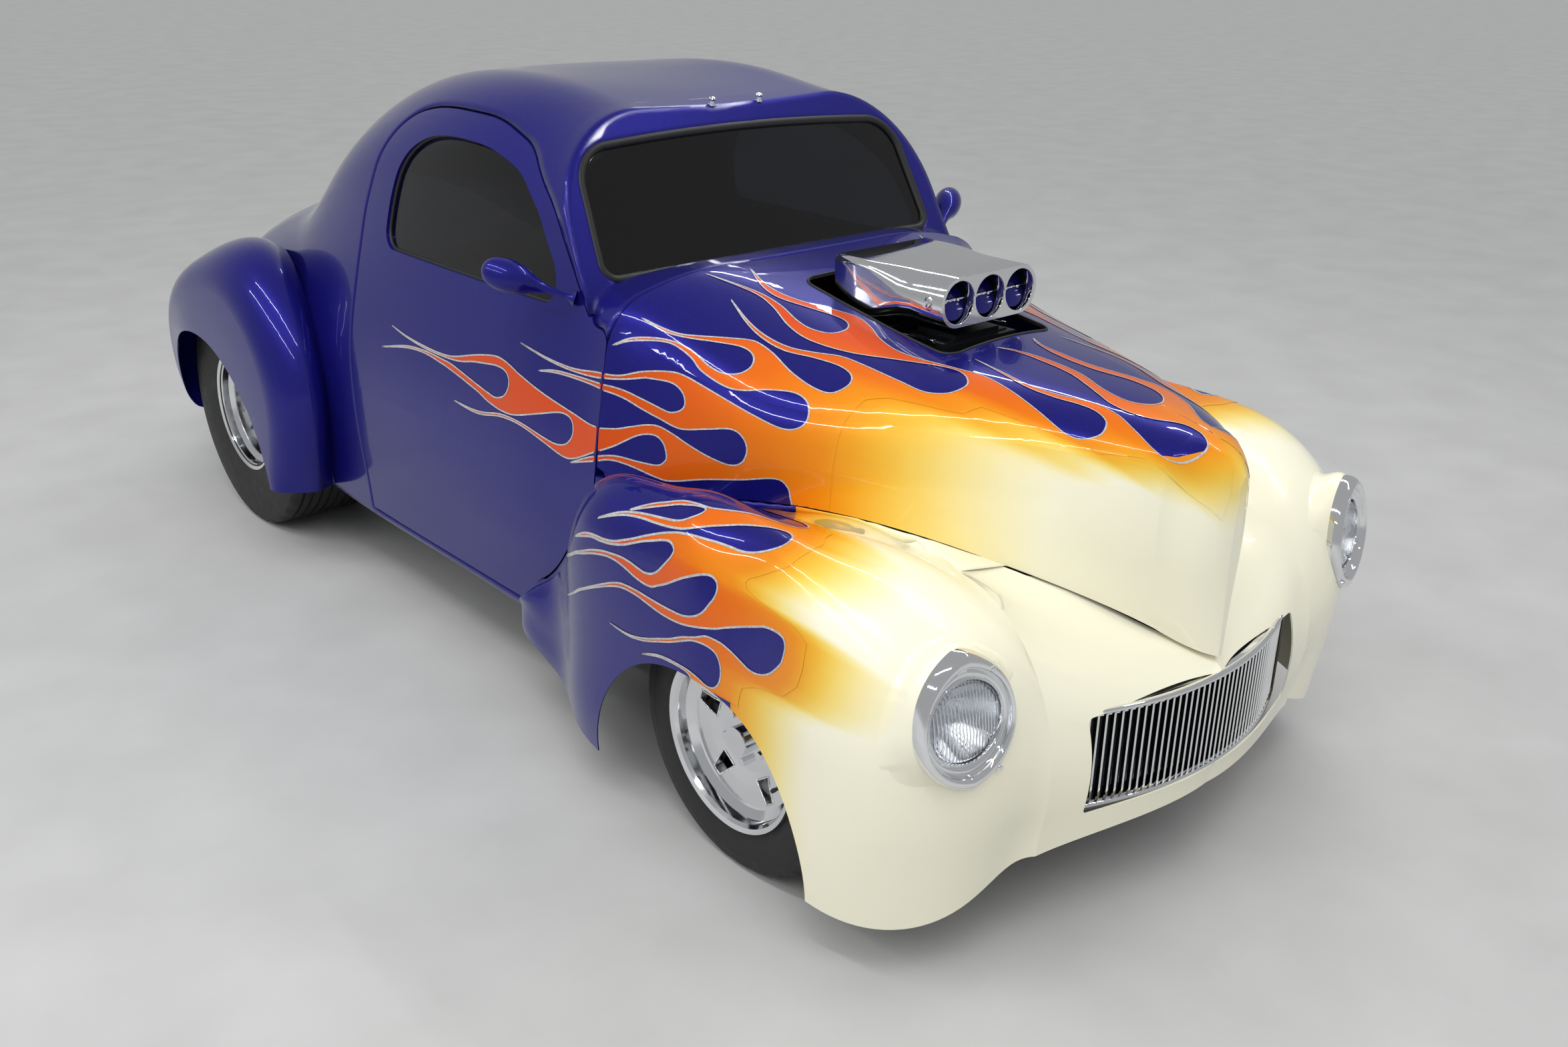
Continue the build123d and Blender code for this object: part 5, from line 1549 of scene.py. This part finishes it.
floor_mesh = bpy.data.meshes.new("studio_floor")
corners = [(x * FLOOR_HALF, y * FLOOR_HALF, 0) for x, y in ((-1, -1), (1, -1), (1, 1), (-1, 1))]
floor_mesh.from_pydata(corners, [], [(0, 1, 2, 3)])
studio_floor = bpy.data.objects.new("studio_floor", floor_mesh)
bpy.context.scene.collection.objects.link(studio_floor)
pale_floor = finish("pale_floor", (0.50, 0.50, 0.49), 0.55, 0.0, 0.0, 0.03, 0.3)
marks = noise_of(pale_floor, 3, 5)
mottle(pale_floor, marks, 0.3, 0.7, (0.48, 0.48, 0.47), (0.53, 0.53, 0.52))
floor_mesh.materials.append(pale_floor)

# the world lights the car at one strength, and shows behind and in it at another
world = bpy.data.worlds.new("studio")
bpy.context.scene.world = world
world.use_nodes = True
world.node_tree.nodes.clear()
rays = node(world, "ShaderNodeLightPath").outputs
seen = maths(world, "MAXIMUM", rays["Is Camera Ray"], rays["Is Glossy Ray"])
seen = maths(world, "MAXIMUM", seen, rays["Is Transmission Ray"])
either = node(world, "ShaderNodeMixShader")
link(world, seen, either.inputs[0])
for socket, colour, strength in (
    (1, LIGHT_COLOUR, LIGHT_STRENGTH), (2, BACKDROP_COLOUR, BACKDROP_STRENGTH),
):
    glow = node(world, "ShaderNodeBackground", [(0, colour), (1, strength)])
    link(world, glow.outputs[0], either.inputs[socket])
link(world, either.outputs[0], node(world, "ShaderNodeOutputWorld").inputs[0])


def lamp(name, kind, place, toward, energy, **settings):
    light = bpy.data.lights.new(name, kind)
    light.energy = energy
    for key, value in settings.items():
        setattr(light, key, value)
    stand = bpy.data.objects.new(name, light)
    bpy.context.scene.collection.objects.link(stand)
    stand.location = place
    stand.rotation_euler = (Vector(toward) - Vector(place)).to_track_quat("-Z", "Y").to_euler()
    return stand


soft_sun = lamp("soft_sun", "SUN", (-3, -5, 9), (0, 0, 0), 1.25, angle=radians(50))
soft_sun.visible_glossy = False
for word, place, toward, power, length, width in STRIPS:
    shape = {"shape": "RECTANGLE", "size": length, "size_y": width}
    lamp(f"strip_{word}", "AREA", place, toward, power, **shape)

# Camera, where the photograph was taken from: off the right front corner, a little above
# the roof, looking down at the hood.

EYE = (-2.5192, at(-2.1079), 1.9976)
HEADING, DOWN, ROLL = radians(41.98), radians(22.82), radians(0.90)
SENSOR, FOCAL = 36, 33.213
ahead = Vector((sin(HEADING) * cos(DOWN), cos(HEADING) * cos(DOWN), -sin(DOWN)))
level = Vector((cos(HEADING), -sin(HEADING), 0))
upward = level.cross(ahead)
right = level * cos(ROLL) + upward * sin(ROLL)
over = upward * cos(ROLL) - level * sin(ROLL)
view = bpy.data.cameras.new("camera")
view.sensor_width = SENSOR
view.sensor_fit = "HORIZONTAL"
view.lens = FOCAL
camera = bpy.data.objects.new("camera", view)
bpy.context.scene.collection.objects.link(camera)
camera.matrix_world = Matrix((
    (right.x, over.x, -ahead.x, EYE[0]),
    (right.y, over.y, -ahead.y, EYE[1]),
    (right.z, over.z, -ahead.z, EYE[2]),
    (0, 0, 0, 1),
))
bpy.context.scene.camera = camera
bpy.context.scene.view_settings.view_transform = "Standard"
